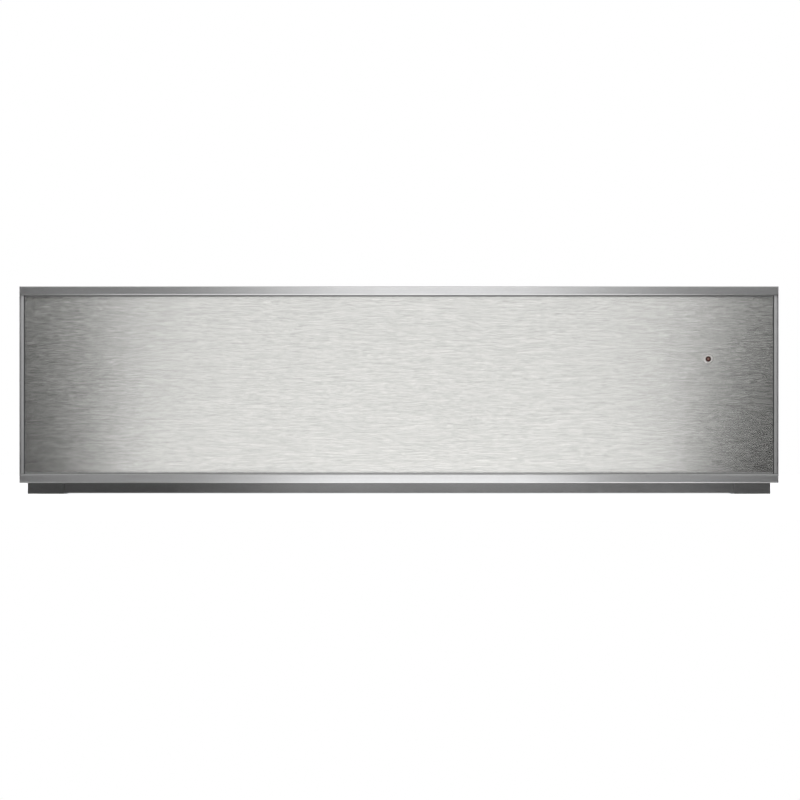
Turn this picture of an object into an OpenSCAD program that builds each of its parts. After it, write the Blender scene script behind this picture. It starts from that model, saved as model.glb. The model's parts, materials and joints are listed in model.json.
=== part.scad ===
// Push-to-open warming drawer, built into a furniture niche below an oven.
// The origin is the middle of the footprint on the niche floor, the front faces -Y
// and Z is up. Sheet parts meet face to face, and moving parts keep a named clearance.

/* [Front] */
// Width of the drawer front
front_w = 752; // [740:1:860]
// Height of the drawer front
front_h = 194.8; // [190:0.2:230]
// Height of the front's lower edge above the niche floor
front_lift = 11; // [6:0.2:16]
// Depth of the front's frame
frame_d = 44; // [30:1:60]
// Visible height of the top and bottom frame rails
rail_h = 9; // [6:0.2:14]
// Visible width of the side stiles
stile_w = 4.5; // [4:0.5:10]
// Wall of the frame behind its front edge
frame_wall = 2; // [1.5:0.25:3]
// Width of the dark seal between a rail and the glass
rail_seal = 1.2; // [1:0.1:4]
// Width of the dark seal between a stile and the glass
stile_seal = 1.2; // [0.8:0.2:3]
// Thickness of the glass pane
glass_t = 4; // [3:0.5:6]
// Distance of the glass behind the frame's face
glass_recess = 0.5; // [0.2:0.1:1.5]
// Thickness of the brushed steel sheet behind the glass
backing_t = 1; // [0.6:0.1:2]
// Thickness of the inner cover of the front
cover_t = 1; // [0.8:0.1:2]
// Depth of the inner cover's turned edges
cover_edge = 14; // [8:1:20]
// Free gap between the front and the casing
front_gap = 5; // [4.5:0.5:8]

/* [Indicator] */
// Distance of the indicator from the front's right end
led_in = 69.7; // [64:0.1:90]
// Height of the indicator above the front's middle
led_up = 25.4; // [10:0.1:50]
// Diameter of the indicator's lens
led_d = 5.4; // [3:0.1:7]
// Width of the bright ring round the lens
bezel_w = 1.4; // [0.8:0.1:3]
// Distance that the lens stands out of the glass
lens_proud = 0.4; // [0:0.1:0.5]

/* [Casing] */
// Distance that the front reaches past each side of the casing
front_lap = 18; // [17:0.5:24]
// Distance that the front reaches above the casing
front_over = 2.8; // [1:0.2:4]
// Sheet of the casing
casing_t = 0.8; // [0.6:0.1:1.5]
// Height of the casing's turned edges
turn_h = 12; // [8:1:20]
// Width of the feet turned inwards under the side walls
foot_w = 28; // [18:1:40]
// Depth of the lip turned down at the top of the opening
top_lip = 10; // [4:1:12]
// Gap between the turned edges of two sheets where they would meet
turn_play = 2; // [1:0.5:4]
// Distance that the cable gland stands out behind the casing
gland_proud = 10; // [6:1:20]

/* [Front strip and mounting angles] */
// Distance of the mounting angles' outer edges inside the front's ends
angle_inset = 7; // [5:0.5:10]
// Height of the strip below the drawer
strip_h = 26; // [20:1:28]
// Sheet of the strip and of the mounting angles
strip_t = 1.2; // [1:0.1:2]
// Depth of the strip's lower flange, on the base tray
strip_foot_d = 16; // [10:1:24]
// Depth of the strip's upper flange
strip_return_d = 10; // [6:1:16]
// Width of each angle's wide foot
angle_foot_w = 36; // [30:1:50]
// Distance that an angle's leg covers the edge of the side wall, inwards
angle_lap = 8; // [3:0.5:10]
// Depth of the angle's leg along the side wall
angle_leg = 38; // [25:1:60]
// Height of the mounting holes' middle above the niche floor
mount_z = 104; // [90:1:115]
// Distance between the upper and lower mounting holes
mount_pitch = 128; // [60:1:140]
// Diameter of the mounting holes
mount_hole_d = 4.5; // [3.5:0.1:5]
// Distance of the mounting holes from the angle's outer edge
mount_edge = 4; // [3:0.25:5]

/* [Drawer box] */
// Room beside the box in the casing, on each side, for the slides
side_room = 28; // [27:0.5:34]
// Height of the box's underside above the niche floor
box_z = 30; // [29:1:34]
// Room between the box and the top of the casing
top_room = 23; // [20:1:30]
// Sheet of the box
box_t = 1; // [0.8:0.1:1.5]
// Width of the rim turned outwards along the box sides
rim_w = 10; // [6:0.5:12]
// Width of the box sides' front flanges, which carry the front
flange_w = 14; // [10:0.5:15]
// Free room between the drawer and the casing's rear wall
rear_room = 44.7; // [40:0.1:60]
// Depth of the air duct behind the box
duct_d = 31; // [29:1:40]
// Depth of the duct's top below the box's rim
duct_drop = 8; // [4:1:12]
// Height of the warming plate's ledge above the box's underside
ledge_up = 27; // [25:1:32]
// Width of the ledge
ledge_w = 10; // [6:1:16]
// Thickness of the floor insulation
floor_pad_t = 14; // [8:1:16]
// Thickness of the glass warming plate
plate_t = 4; // [3:0.5:6]
// Free edge round the warming plate
plate_edge = 1.5; // [0.5:0.5:3]
// Thickness of the anti-slip mat
mat_t = 2; // [1:0.5:3]
// Free border round the anti-slip mat
mat_border = 12; // [6:1:40]
// Free edge round the mineral wool in the front
wool_play = 2; // [1:0.5:4]
// Free edge round a piece that passes through a sheet
hole_play = 0.5; // [0.3:0.1:1]

/* [Heating] */
// Diameter of the tubular heating element
element_d = 6.5; // [5:0.5:8]
// Number of the element's long runs
element_runs = 6; // [4:2:8]
// Distance between two runs
element_pitch = 46; // [40:1:50]
// Length of the straight runs
element_run = 480; // [300:10:520]
// Radius of the bends before the element's ends
tail_r = 10; // [8:1:16]
// Distance that the element's ends reach into the duct
tail_out = 12; // [8:1:20]

/* [Fan] */
// Diameter of the fan wheel
fan_d = 96; // [70:1:100]
// Depth of the fan wheel
fan_t = 12; // [8:1:13]
// Depth of the fan's axis below the box's rim
fan_drop = 68; // [64:1:74]
// Free room round the fan wheel in the rear panel
fan_play = 2; // [1:0.5:4]
// Number of blades
fan_blades = 24; // [12:1:30]
// Thickness of the fan wheel's back plate
wheel_plate_t = 1; // [0.8:0.1:2]
// Width of a blade, along the wheel's radius
blade_w = 14; // [8:1:20]
// Thickness of a blade
blade_t = 1; // [0.6:0.1:1.5]
// Width of the grille's rim beyond the fan wheel
grille_rim = 8; // [6:1:12]
// Number of the grille's rings of slots
grille_rings = 4; // [3:1:5]
// Thickness of the fan grille
grille_t = 1.5; // [1:0.1:3]
// Diameter of the fan motor
motor_d = 60; // [40:1:66]
// Depth of the fan motor
motor_t = 12; // [10:1:13]
// Diameter of the motor's shaft
fan_shaft_d = 5; // [4:0.5:6]
// Side of the motor's fixing lugs
lug_w = 16; // [12:1:20]
// Thickness of the motor's fixing lugs
lug_t = 2; // [1:0.5:3]
// Distance of the temperature limiter to the right of the fan's axis
limiter_x = 110; // [80:1:150]
// Diameter of the temperature limiter
limiter_d = 16; // [12:1:20]
// Depth of the temperature limiter
limiter_t = 8; // [6:1:10]
// Width of the limiter's contact tabs
tab_w = 3; // [2:0.5:5]
// Thickness of the limiter's contact tabs
tab_t = 0.8; // [0.6:0.1:1]

/* [Air slots] */
// Height of every air slot
slot_h = 4; // [3:0.5:5]
// Distance of a row of slots above the face below it
slot_up = 6; // [4:1:10]
// Width of the rear wall's slots
rear_slot_w = 18; // [10:1:20]
// Distance between two slots of the rear wall
rear_slot_pitch = 26; // [23:1:30]
// Number of the rear wall's slots on each side of the middle one
rear_slots = 5; // [3:1:5]
// Distance between the rear wall's two rows of slots
rear_row_pitch = 12; // [8:1:14]
// Width of the console's slots
console_slot_w = 22; // [12:1:26]
// Distance between two slots of the console
console_slot_pitch = 32; // [29:1:40]
// Width of the duct cover's slots
duct_slot_w = 28; // [16:1:32]
// Distance between two slots of the duct cover
duct_slot_pitch = 40; // [35:1:48]
// Number of the duct cover's slots on each side of the middle one
duct_slots = 3; // [2:1:5]

/* [Controls] */
// Depth of the control console behind the front
console_d = 40; // [38:1:60]
// Depth of the console's top below the box's rim
console_drop = 6; // [4:1:8]
// Distance of the temperature knob from the box's right side
knob_in = 104; // [94:1:140]
// Diameter of the temperature knob
knob_d = 28; // [22:1:32]
// Height of the temperature knob
knob_h = 11; // [8:0.5:13]
// Number of the knob's ribs
knob_ribs = 24; // [16:1:30]
// Radius of the knob's ribs
knob_rib_r = 0.7; // [0.4:0.1:1]
// Gap between the knob and the console
knob_gap = 0.5; // [0.3:0.1:1]
// Width of the knob's pointer groove
pointer_w = 1.2; // [0.8:0.1:2]
// Depth of the knob's pointer groove
pointer_t = 0.6; // [0.4:0.1:1]
// Diameter of the knob's shaft
knob_shaft_d = 6; // [5:0.5:7]
// Length of the knob's shaft below the console's sheet
knob_shaft_in = 9; // [7:0.5:11]
// Length of the knob's shaft above the console
knob_shaft_up = 5; // [3:0.5:6]
// Diameter of the bush that carries the knob's shaft
bush_d = 10; // [9:0.5:12]
// Height of the bush above the console
bush_up = 1.5; // [1:0.5:3]
// Side of the temperature selector
selector_w = 22; // [16:1:26]
// Height of the temperature selector
selector_h = 14; // [12:1:18]
// Distance of the power button from the box's right side
button_in = 57; // [30:1:64]
// Diameter of the power button
button_d = 14; // [10:1:16]
// Distance that the power button stands out of the console
button_proud = 2.6; // [1.8:0.1:4]
// Travel of the power button
button_travel = 1.5; // [1:0.1:2]
// Width of the button's collar, which holds it below the console
button_collar = 1.5; // [1:0.1:2]
// Thickness of the button's collar
button_collar_t = 1.2; // [0.8:0.1:2]
// Diameter of the button's stem
stem_d = 5; // [4:0.5:6]
// Length of the button's stem
stem_l = 4; // [3:0.5:5]
// Free room beside the button's collar
switch_play = 1; // [0.6:0.1:2]
// Wall of the switch's two legs
switch_wall = 1.5; // [1:0.1:2]
// Depth of the power switch
switch_d = 12; // [10:1:16]
// Height of the power switch
switch_h = 8; // [6:1:12]
// Length of the control board
board_l = 220; // [210:1:240]
// Height of the control board
board_h = 44; // [36:1:48]
// Thickness of the control board
board_t = 1.6; // [1:0.1:2]
// Distance that the board reaches past the indicator, and above it
board_edge = 12; // [10:1:14]
// Diameter of the board's spacers
spacer_d = 6; // [5:0.5:8]
// Length of the control board's spacers
spacer_l = 4; // [3:0.5:6]
// Distance of the spacers from the board's edges
spacer_in = 6; // [5:0.5:8]
// Length of the board's transformer
transformer_l = 28; // [20:1:36]
// Depth of the board's tall components
component_d = 16; // [10:1:18]
// Diameter of the board's round components
capacitor_d = 12; // [8:1:14]
// Distance between two round components
capacitor_pitch = 16; // [15:1:20]

/* [Slides] */
// Length of the telescopic slides
slide_l = 440; // [400:1:500]
// Distance of the slides behind the casing's front
slide_front = 2.5; // [2:0.5:6]
// Height of the slides' middle above the box's underside
slide_up = 75; // [65:1:85]
// Height of the slide
slide_h = 46; // [46:1:54]
// Thickness of the whole slide
slide_t = 12.7; // [12.5:0.1:14]
// Sheet of the slide's rails
rail_gauge = 1.2; // [1:0.1:1.4]
// Width of the cabinet rail's flanges
cabinet_flange = 9; // [7:0.5:10]
// Width of the middle rail's flanges
middle_flange = 7; // [6:0.5:7.5]
// Play between a cage's web and each web beside it
web_play = 0.3; // [0.2:0.05:0.4]
// Play between the drawer rail's flanges and the middle rail's web, beyond the cage's
flange_play = 0.6; // [0.4:0.1:1]
// Distance of a bracket's arms inside the cabinet rail's edges
bracket_step = 6; // [4:1:8]
// Width of a bracket's feet on the side wall
bracket_foot = 12; // [8:1:16]
// Diameter of the bearing balls
ball_d = 4; // [3.6:0.1:4.2]
// Distance between two balls
ball_pitch = 24; // [20:1:30]
// Play of a ball between its tracks, on each side
ball_play = 0.15; // [0.1:0.05:0.2]
// Sheet of the ball cages
cage_t = 0.5; // [0.4:0.1:0.6]

/* [Push latch] */
// Width and height of the latch housing
latch_w = 34; // [28:1:44]
// Depth of the latch housing
latch_d = 30; // [26:1:32]
// Depth of the latch's middle below the box's rim
latch_drop = 30; // [25:1:45]
// Distance of the latch from the casing's right side
latch_in = 168; // [120:1:200]
// Wall of the latch housing at its front and back
latch_wall = 3; // [2:0.5:4]
// Width of the plunger's collar
plunger_collar = 2.5; // [1.5:0.5:4]
// Thickness of the plunger's collar
plunger_collar_t = 4; // [3:0.5:6]
// Wall of the hollow cylinder that stands for the spring's coils
spring_wall = 2; // [1:0.5:3]
// Diameter of the latch plunger
plunger_d = 12; // [8:1:14]
// Thickness of the rubber pad that the plunger meets
pad_t = 5.7; // [4:0.1:8]
// Side of the rubber pad
pad_w = 24; // [18:1:30]

/* [Electrical supply] */
// Width of the flat flexible lead
lead_w = 12; // [8:1:18]
// Thickness of the flat flexible lead
lead_t = 0.9; // [0.6:0.1:1.2]
// Height of the lead's folds
lead_h = 60; // [40:1:70]
// Number of panels between the folds
lead_panels = 14; // [8:2:16]
// Distance of the lead from the casing's left side
lead_in = 144; // [110:1:180]
// Height of the lead's lower folds above the niche floor
lead_z = 52; // [46:1:60]
// Width of the terminal block
terminal_w = 52; // [40:1:60]
// Depth of the terminal block
terminal_d = 24; // [16:1:28]
// Height of the terminal block
terminal_h = 16; // [12:1:18]
// Diameter of the terminal block's screw wells
well_d = 7; // [5:0.5:9]
// Thread diameter of the cable gland
gland_d = 16; // [14:1:20]
// Bore of the cable gland
gland_bore = 8; // [6:0.5:10]
// Width of the gland's flange and of its nut beyond the thread
gland_flange = 4; // [3:0.5:5]
// Thickness of the gland's flange
gland_flange_t = 3; // [2:0.5:4]
// Thickness of the gland's nut
gland_nut_t = 5; // [4:0.5:6]
// Length of the gland inside the casing
gland_inner_l = 8; // [7:0.5:10]
// Distance of the gland and the terminal block from the casing's left side
gland_in = 58; // [50:1:80]
// Height of the gland above the niche floor
gland_z = 40; // [36:1:60]

/* [Fits and screws] */
// Clearance between pieces that are put together
fit = 0.2; // [0.1:0.05:0.3]
// Running clearance of shafts and plungers, on the radius
run_fit = 0.08; // [0.05:0.01:0.1]
// Diameter of the screws
screw_d = 3; // [2.5:0.1:3.5]
// Diameter of the screw heads
screw_head_d = 6; // [5:0.5:7]
// Height of the screw heads
screw_head_h = 1.6; // [1:0.1:2]
// Length of the screws below their heads
screw_l = 4; // [3:0.5:5]

/* [Hidden] */
$fn = 48;

// Depths, from the front face to the tip of the gland
casing_d = slide_front + slide_l + rear_room + casing_t;
total_d = frame_d + front_gap + casing_d + gland_proud;
front_y = -total_d / 2;
glass_y = front_y + glass_recess;
backing_y = glass_y + glass_t;
front_back = front_y + frame_d;
casing_front = front_back + front_gap;
casing_back = total_d / 2 - gland_proud;
rear_inner = casing_back - casing_t;
drawer_back = rear_inner - rear_room;
box_rear = drawer_back - duct_d;
console_back = front_back + console_d;

// Heights
front_top = front_lift + front_h;
casing_h = front_top - front_over;
box_h = casing_h - box_z - top_room;
tray_top = 2 * casing_t;
casing_top = casing_h - casing_t;
box_top = box_z + box_h;
pan_top = box_z + box_t;
ledge_z = box_z + ledge_up;
plate_top = ledge_z + plate_t;
pad_top = pan_top + fit + floor_pad_t;
console_top = box_top - console_drop;
element_z = pad_top + fit + element_d / 2;
fan_z = box_top - fan_drop;
slide_z = box_z + slide_up;
latch_z = box_top - latch_drop;
slot_z = plate_top + mat_t + slot_up;
led_z = front_lift + front_h / 2 + led_up;

// Half widths of the casing and of the drawer box
casing_out = front_w / 2 - front_lap;
casing_in = casing_out - casing_t;
angle_out = front_w / 2 - angle_inset;
strip_half = angle_out - angle_foot_w;
box_out = casing_out - side_room;
box_in = box_out - box_t;

// Places from the middle, to the right or, for the lead and the gland, to the left
led_x = front_w / 2 - led_in;
knob_x = box_in - knob_in;
button_x = box_in - button_in;
latch_x = casing_out - latch_in;
lead_x = casing_out - lead_in;
gland_x = casing_out - gland_in;

// Where the heating element's two ends pass into the duct
inner_tail_x = element_run / 2 + tail_r;
outer_tail_x = inner_tail_x + element_pitch / 2 + element_d;
tail_end = box_rear + tail_out;

// Telescopic slide: x from the box side outwards, z from the slide's middle
slide_y = casing_front + slide_front;
web_gap = cage_t + 2 * web_play;
cabinet_x = slide_t;
middle_x = cabinet_x - rail_gauge - web_gap;
drawer_flange_x = middle_x - rail_gauge - web_gap - flange_play;
ball_gap = ball_d + 2 * ball_play;
cabinet_half = slide_h / 2;
middle_half = cabinet_half - rail_gauge - ball_gap;
drawer_half = middle_half - rail_gauge - ball_gap;
outer_ball_x = (2 * middle_x - middle_flange) / 2;
inner_ball_x = drawer_flange_x - ball_d / 2;
cage_len = slide_l / 2 - 12;
cage_y = slide_y + slide_l / 4 + 6;

// A box between two corners, given as ranges along each axis
module span(x, y, z) {
    translate([x[0], y[0], z[0]]) cube([x[1] - x[0], y[1] - y[0], z[1] - z[0]]);
}

// The range between two values, given in either order
function range(a, b) = [min(a, b), max(a, b)];

// A cylinder along Y or along X, from one end to the other
module rod_y(d, x, y, z) {
    translate([x, y[0], z]) rotate([-90, 0, 0]) cylinder(d = d, h = y[1] - y[0]);
}

module rod_x(d, x, y, z) {
    translate([x[0], y, z]) rotate([0, 90, 0]) cylinder(d = d, h = x[1] - x[0]);
}

// What is drawn for the right-hand side, or its mirror image on the left
module handed(side) {
    if (side < 0) mirror([1, 0, 0]) children();
    else children();
}

// A pan-head screw whose head rests on z = 0 and whose shank points down
module screw() {
    difference() {
        cylinder(d = screw_head_d, h = screw_head_h);
        for (turn = [0, 90]) rotate([0, 0, turn])
            translate([-screw_head_d / 3, -0.4, screw_head_h / 2])
                cube([screw_head_d / 1.5, 0.8, screw_head_h]);
    }
    translate([0, 0, -screw_l]) cylinder(d = screw_d - 2 * fit, h = screw_l + 0.01);
}

// A row of air slots for cutting through a sheet that lies between two depths
module slots(count, pitch, w, y, z) {
    for (slot = [-count:count])
        span([slot * pitch - w / 2, slot * pitch + w / 2], [y[0] - 1, y[1] + 1],
            [z, z + slot_h]);
}

// Where the casing's side screws are: [y, z] of each
top_screw_z = casing_top - turn_h / 2;
casing_screw_places = [
    for (part = [0.15, 0.5, 0.85]) [casing_front + part * casing_d, top_screw_z],
    for (part = [0.25, 0.75])
        [casing_back - casing_t - turn_h / 2, tray_top + part * casing_h]
];
angle_screw_y = casing_front + strip_t + angle_leg * 0.6;
angle_screw_z = [strip_h + 20, casing_top - 2 * turn_h - 12];
flange_screw_z = [box_z + 24, box_z + box_h / 2, box_top - 24];
flange_screw_x = box_out + flange_w / 2;

/* ---------- Casing ---------- */

module base_tray() color("gainsboro") {
    y = [casing_front + strip_t, rear_inner];
    span([-casing_in, casing_in], y, [casing_t, tray_top]);
    span([-casing_in, casing_in], [rear_inner - casing_t, rear_inner],
        [casing_t, tray_top + turn_h]);
    for (side = [-1, 1]) handed(side)
        span([casing_in - casing_t, casing_in], y, [casing_t, tray_top + turn_h]);
}

module side_wall(side) color("gainsboro") handed(side) difference() {
    union() {
        span([casing_in, casing_out], [casing_front + strip_t, casing_back],
            [0, casing_top]);
        span([casing_out - foot_w, casing_out],
            [casing_front + strip_t, casing_back], [0, casing_t]);
    }
    for (place = casing_screw_places)
        rod_x(screw_d, [casing_in - 1, casing_out + 1], place[0], place[1]);
    for (z = angle_screw_z)
        rod_x(screw_d, [casing_in - 1, casing_out + 1], angle_screw_y, z);
}

module rear_wall() color("gainsboro") difference() {
    union() {
        span([-casing_in, casing_in], [rear_inner, casing_back], [tray_top, casing_top]);
        for (side = [-1, 1]) handed(side)
            span([casing_in - casing_t, casing_in],
                [rear_inner - turn_h, rear_inner],
                [tray_top + turn_h + turn_play, casing_top - turn_h - turn_play]);
    }
    rod_y(gland_d + 2 * fit, -gland_x, [rear_inner - 1, casing_back + 1], gland_z);
    for (row = [0, 1])
        slots(rear_slots, rear_slot_pitch, rear_slot_w, [rear_inner, casing_back],
            fan_z + row * rear_row_pitch);
    for (side = [-1, 1], place = casing_screw_places)
        rod_x(screw_d, [side * casing_in - 2, side * casing_in + 2], place[0], place[1]);
}

module top_cover() color("gainsboro") difference() {
    union() {
        span([-casing_out, casing_out], [casing_front + strip_t, casing_back],
            [casing_top, casing_h]);
        span([-casing_in, casing_in],
            [casing_front + strip_t, casing_front + strip_t + casing_t],
            [casing_top - top_lip, casing_top]);
        for (side = [-1, 1]) handed(side)
            span([casing_in - casing_t, casing_in],
                [casing_front + strip_t, rear_inner],
                [casing_top - turn_h, casing_top]);
    }
    for (side = [-1, 1], place = casing_screw_places)
        rod_x(screw_d, [side * casing_in - 2, side * casing_in + 2], place[0], place[1]);
}

module front_strip() color("dimgray") {
    x = [-strip_half + fit, strip_half - fit];
    y = casing_front;
    span(x, [y, y + strip_t], [casing_t, strip_h]);
    span(x, [y, y + strip_foot_d], [tray_top, tray_top + strip_t]);
    span(x, [y, y + strip_return_d], [strip_h - strip_t, strip_h]);
}

module mounting_angle(side) color("dimgray") handed(side) difference() {
    union() {
        span([strip_half, angle_out], [casing_front, casing_front + strip_t],
            [0, strip_h]);
        span([casing_out - angle_lap, angle_out],
            [casing_front, casing_front + strip_t], [0, casing_h]);
        span([casing_out, casing_out + strip_t],
            [casing_front, casing_front + strip_t + angle_leg],
            [0, casing_top - 2 * turn_h]);
    }
    for (end = [-1, 1])
        rod_y(mount_hole_d, angle_out - mount_edge,
            [casing_front - 1, casing_front + strip_t + 1],
            mount_z + end * mount_pitch / 2);
    for (z = angle_screw_z)
        rod_x(screw_d, [casing_out - 1, casing_out + strip_t + 1], angle_screw_y, z);
}

module casing_screws() color("silver") for (side = [-1, 1]) handed(side) {
    for (place = casing_screw_places)
        translate([casing_out, place[0], place[1]]) rotate([0, 90, 0]) screw();
    for (z = angle_screw_z)
        translate([casing_out + strip_t, angle_screw_y, z]) rotate([0, 90, 0]) screw();
}

/* ---------- Telescopic slides ---------- */

// A C-shaped rail: its web lies at x, and its flanges reach to x_end
module channel(x, x_end, half) {
    y = [slide_y, slide_y + slide_l];
    web = x_end < x ? [x - rail_gauge, x] : [x, x + rail_gauge];
    flange = x_end < x ? [x_end, x] : [x, x_end];
    translate([box_out, 0, slide_z]) {
        span(web, y, [-half, half]);
        for (end = [-1, 1])
            span(flange, y, range(end * half, end * (half - rail_gauge)));
    }
}

module slide_bracket(side) color("silver") handed(side) {
    y = [slide_y, slide_y + slide_l];
    web_x = box_out + cabinet_x;
    arm = cabinet_half - bracket_step;
    span([web_x, web_x + rail_gauge], y, [slide_z - arm, slide_z + arm]);
    for (end = [-1, 1]) {
        z = slide_z + end * arm;
        span([web_x, casing_in], y, range(z, z - end * rail_gauge));
        span([casing_in - rail_gauge, casing_in], y, range(z, z + end * bracket_foot));
    }
}

module cabinet_rail(side) color("lightgray") handed(side)
    channel(cabinet_x, cabinet_x - cabinet_flange, cabinet_half);

module middle_rail(side) color("silver") handed(side)
    channel(middle_x, middle_x - middle_flange, middle_half);

module drawer_rail(side) color("lightgray") handed(side)
    channel(0, drawer_flange_x, drawer_half);

// A ball cage: a web between two rails, two legs with pockets, and the balls in them
module ball_cage(side, web_x, ball_x, half) color("goldenrod") handed(side) {
    balls = floor((cage_len - ball_pitch / 2) / ball_pitch);
    track = half + ball_gap / 2;
    translate([box_out, cage_y, slide_z]) {
        difference() {
            union() {
                span([web_x - cage_t, web_x], [0, cage_len], [-track, track]);
                for (end = [-1, 1])
                    span([ball_x - 1, web_x], [0, cage_len],
                        [end * track - cage_t / 2, end * track + cage_t / 2]);
            }
            for (end = [-1, 1], place = [0:balls])
                translate([ball_x, ball_pitch / 2 + place * ball_pitch, end * track])
                    cylinder(d = ball_d + 2 * run_fit, h = 2, center = true);
        }
        for (end = [-1, 1], place = [0:balls])
            translate([ball_x, ball_pitch / 2 + place * ball_pitch, end * track])
                sphere(d = ball_d);
    }
}

module outer_cage(side)
    ball_cage(side, middle_x + (web_gap + cage_t) / 2, outer_ball_x, middle_half);

module inner_cage(side)
    ball_cage(side, middle_x - rail_gauge - (web_gap - cage_t) / 2, inner_ball_x, drawer_half);

/* ---------- Push latch ---------- */

pad_face = drawer_back + pad_t;
latch_face = rear_inner - latch_d;
plunger_stop = latch_face + latch_wall;
collar_back = plunger_stop + plunger_collar_t;
collar_d = plunger_d + 2 * plunger_collar;

module push_latch_housing() color("dimgray") difference() {
    span([latch_x - latch_w / 2, latch_x + latch_w / 2], [latch_face, rear_inner],
        [latch_z - latch_w / 2, latch_z + latch_w / 2]);
    rod_y(plunger_d + 2 * run_fit, latch_x, [latch_face - 1, plunger_stop + 1], latch_z);
    rod_y(collar_d + 2 * hole_play, latch_x, [plunger_stop, rear_inner - latch_wall],
        latch_z);
}

module latch_plunger() color("white") {
    rod_y(plunger_d, latch_x, [pad_face, collar_back], latch_z);
    rod_y(collar_d, latch_x, [plunger_stop, collar_back], latch_z);
}

module latch_spring() color("silver") difference() {
    y = [collar_back, rear_inner - latch_wall];
    rod_y(plunger_d, latch_x, y, latch_z);
    rod_y(plunger_d - 2 * spring_wall, latch_x, [y[0] - 1, y[1] + 1], latch_z);
}

module strike_pad() color("black")
    span([latch_x - pad_w / 2, latch_x + pad_w / 2], [drawer_back, pad_face],
        [latch_z - pad_w / 2, latch_z + pad_w / 2]);

/* ---------- Electrical supply ---------- */

module terminal_block() color("ivory") difference() {
    y = [rear_inner - casing_t - terminal_d, rear_inner - casing_t];
    span([-gland_x - terminal_w / 2, -gland_x + terminal_w / 2], y,
        [tray_top, tray_top + terminal_h]);
    for (way = [-1:1])
        translate([-gland_x + way * terminal_w / 3.5, y[0] + terminal_d / 2,
            tray_top + terminal_h / 2]) cylinder(d = well_d, h = terminal_h);
}

module cable_gland() color("black") difference() {
    inner_end = rear_inner - gland_inner_l;
    flange_d = gland_d + 2 * gland_flange;
    union() {
        rod_y(gland_d, -gland_x, [inner_end, casing_back + gland_proud], gland_z);
        rod_y(flange_d, -gland_x, [casing_back, casing_back + gland_flange_t], gland_z);
        translate([-gland_x, rear_inner - gland_nut_t, gland_z]) rotate([-90, 0, 0])
            cylinder(d = flange_d, h = gland_nut_t, $fn = 6);
    }
    rod_y(gland_bore, -gland_x, [inner_end - 1, casing_back + gland_proud + 1], gland_z);
}

// The lead's panels go up and down between flat folds. A fold's place along the lead
// is a multiple of the pitch, and where two panels part, the slit between them starts.
lead_pitch = (rear_room - 2 * fit - lead_t) / lead_panels;
lead_slit = lead_h * lead_t / 2 / lead_pitch;
function fold_at(fold) = fit + lead_t / 2 + fold * lead_pitch;
function flat_fold(fold, z) =
    [[fold_at(fold) - lead_t / 2, z], [fold_at(fold) + lead_t / 2, z]];
function upper_side(fold) =
    fold % 2 == 1 ? flat_fold(fold, lead_h) : [[fold_at(fold), lead_slit]];
function lower_side(fold) =
    fold % 2 == 0 ? flat_fold(fold, 0) : [[fold_at(fold), lead_h - lead_slit]];

module flexible_lead() color("dimgray") {
    upper = [for (fold = [1:lead_panels - 1]) each upper_side(fold)];
    lower = [for (fold = [0:lead_panels]) each lower_side(fold)];
    under = [for (i = [len(lower) - 1:-1:0]) lower[i]];
    translate([-lead_x - lead_w / 2, drawer_back, lead_z])
        rotate([90, 0, 90]) linear_extrude(lead_w) polygon(concat(upper, under));
}

/* ---------- Drawer front ---------- */

glass_x = front_w / 2 - stile_w - stile_seal;
glass_z = [front_lift + rail_h + rail_seal, front_top - rail_h - rail_seal];
frame_in_x = front_w / 2 - frame_wall;
frame_in_z = [front_lift + frame_wall, front_top - frame_wall];

module top_frame_rail() color("silver") {
    x = [-front_w / 2, front_w / 2];
    span(x, [front_y, backing_y], [front_top - rail_h, front_top]);
    span(x, [front_y, front_back], [frame_in_z[1], front_top]);
}

module bottom_frame_rail() color("silver") {
    x = [-front_w / 2, front_w / 2];
    span(x, [front_y, backing_y], [front_lift, front_lift + rail_h]);
    span(x, [front_y, front_back], [front_lift, frame_in_z[0]]);
}

module frame_stile(side) color("silver") handed(side) {
    span([front_w / 2 - stile_w, front_w / 2], [front_y, backing_y],
        [front_lift + rail_h, front_top - rail_h]);
    span([frame_in_x, front_w / 2], [backing_y, front_back], frame_in_z);
}

module glass_pane() color("gainsboro") difference() {
    span([-glass_x, glass_x], [glass_y, backing_y], glass_z);
    rod_y(led_d + 2 * bezel_w + 2 * fit, led_x, [glass_y - 1, backing_y + 1], led_z);
}

module glass_seal() color("black") difference() {
    span([-glass_x - stile_seal, glass_x + stile_seal], [glass_y, backing_y],
        [glass_z[0] - rail_seal, glass_z[1] + rail_seal]);
    span([-glass_x, glass_x], [glass_y - 1, backing_y + 1], glass_z);
}

module brushed_backing() color("lightgray") difference() {
    span([-frame_in_x + fit, frame_in_x - fit], [backing_y, backing_y + backing_t],
        [frame_in_z[0] + fit, frame_in_z[1] - fit]);
    rod_y(led_d + 2 * fit, led_x, [backing_y - 1, backing_y + backing_t + 1], led_z);
}

module front_insulation() color("khaki") difference() {
    wool_edge = cover_t + wool_play;
    span([-frame_in_x + wool_edge, frame_in_x - wool_edge],
        [backing_y + backing_t + fit, front_back - cover_t - fit],
        [frame_in_z[0] + wool_edge, frame_in_z[1] - wool_edge]);
    rod_y(led_d + 2 * wool_play, led_x, [backing_y, front_back], led_z);
    for (side = [-1, 1], z = flange_screw_z)
        rod_y(screw_d, side * flange_screw_x, [front_back - screw_l, front_back], z);
}

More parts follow.
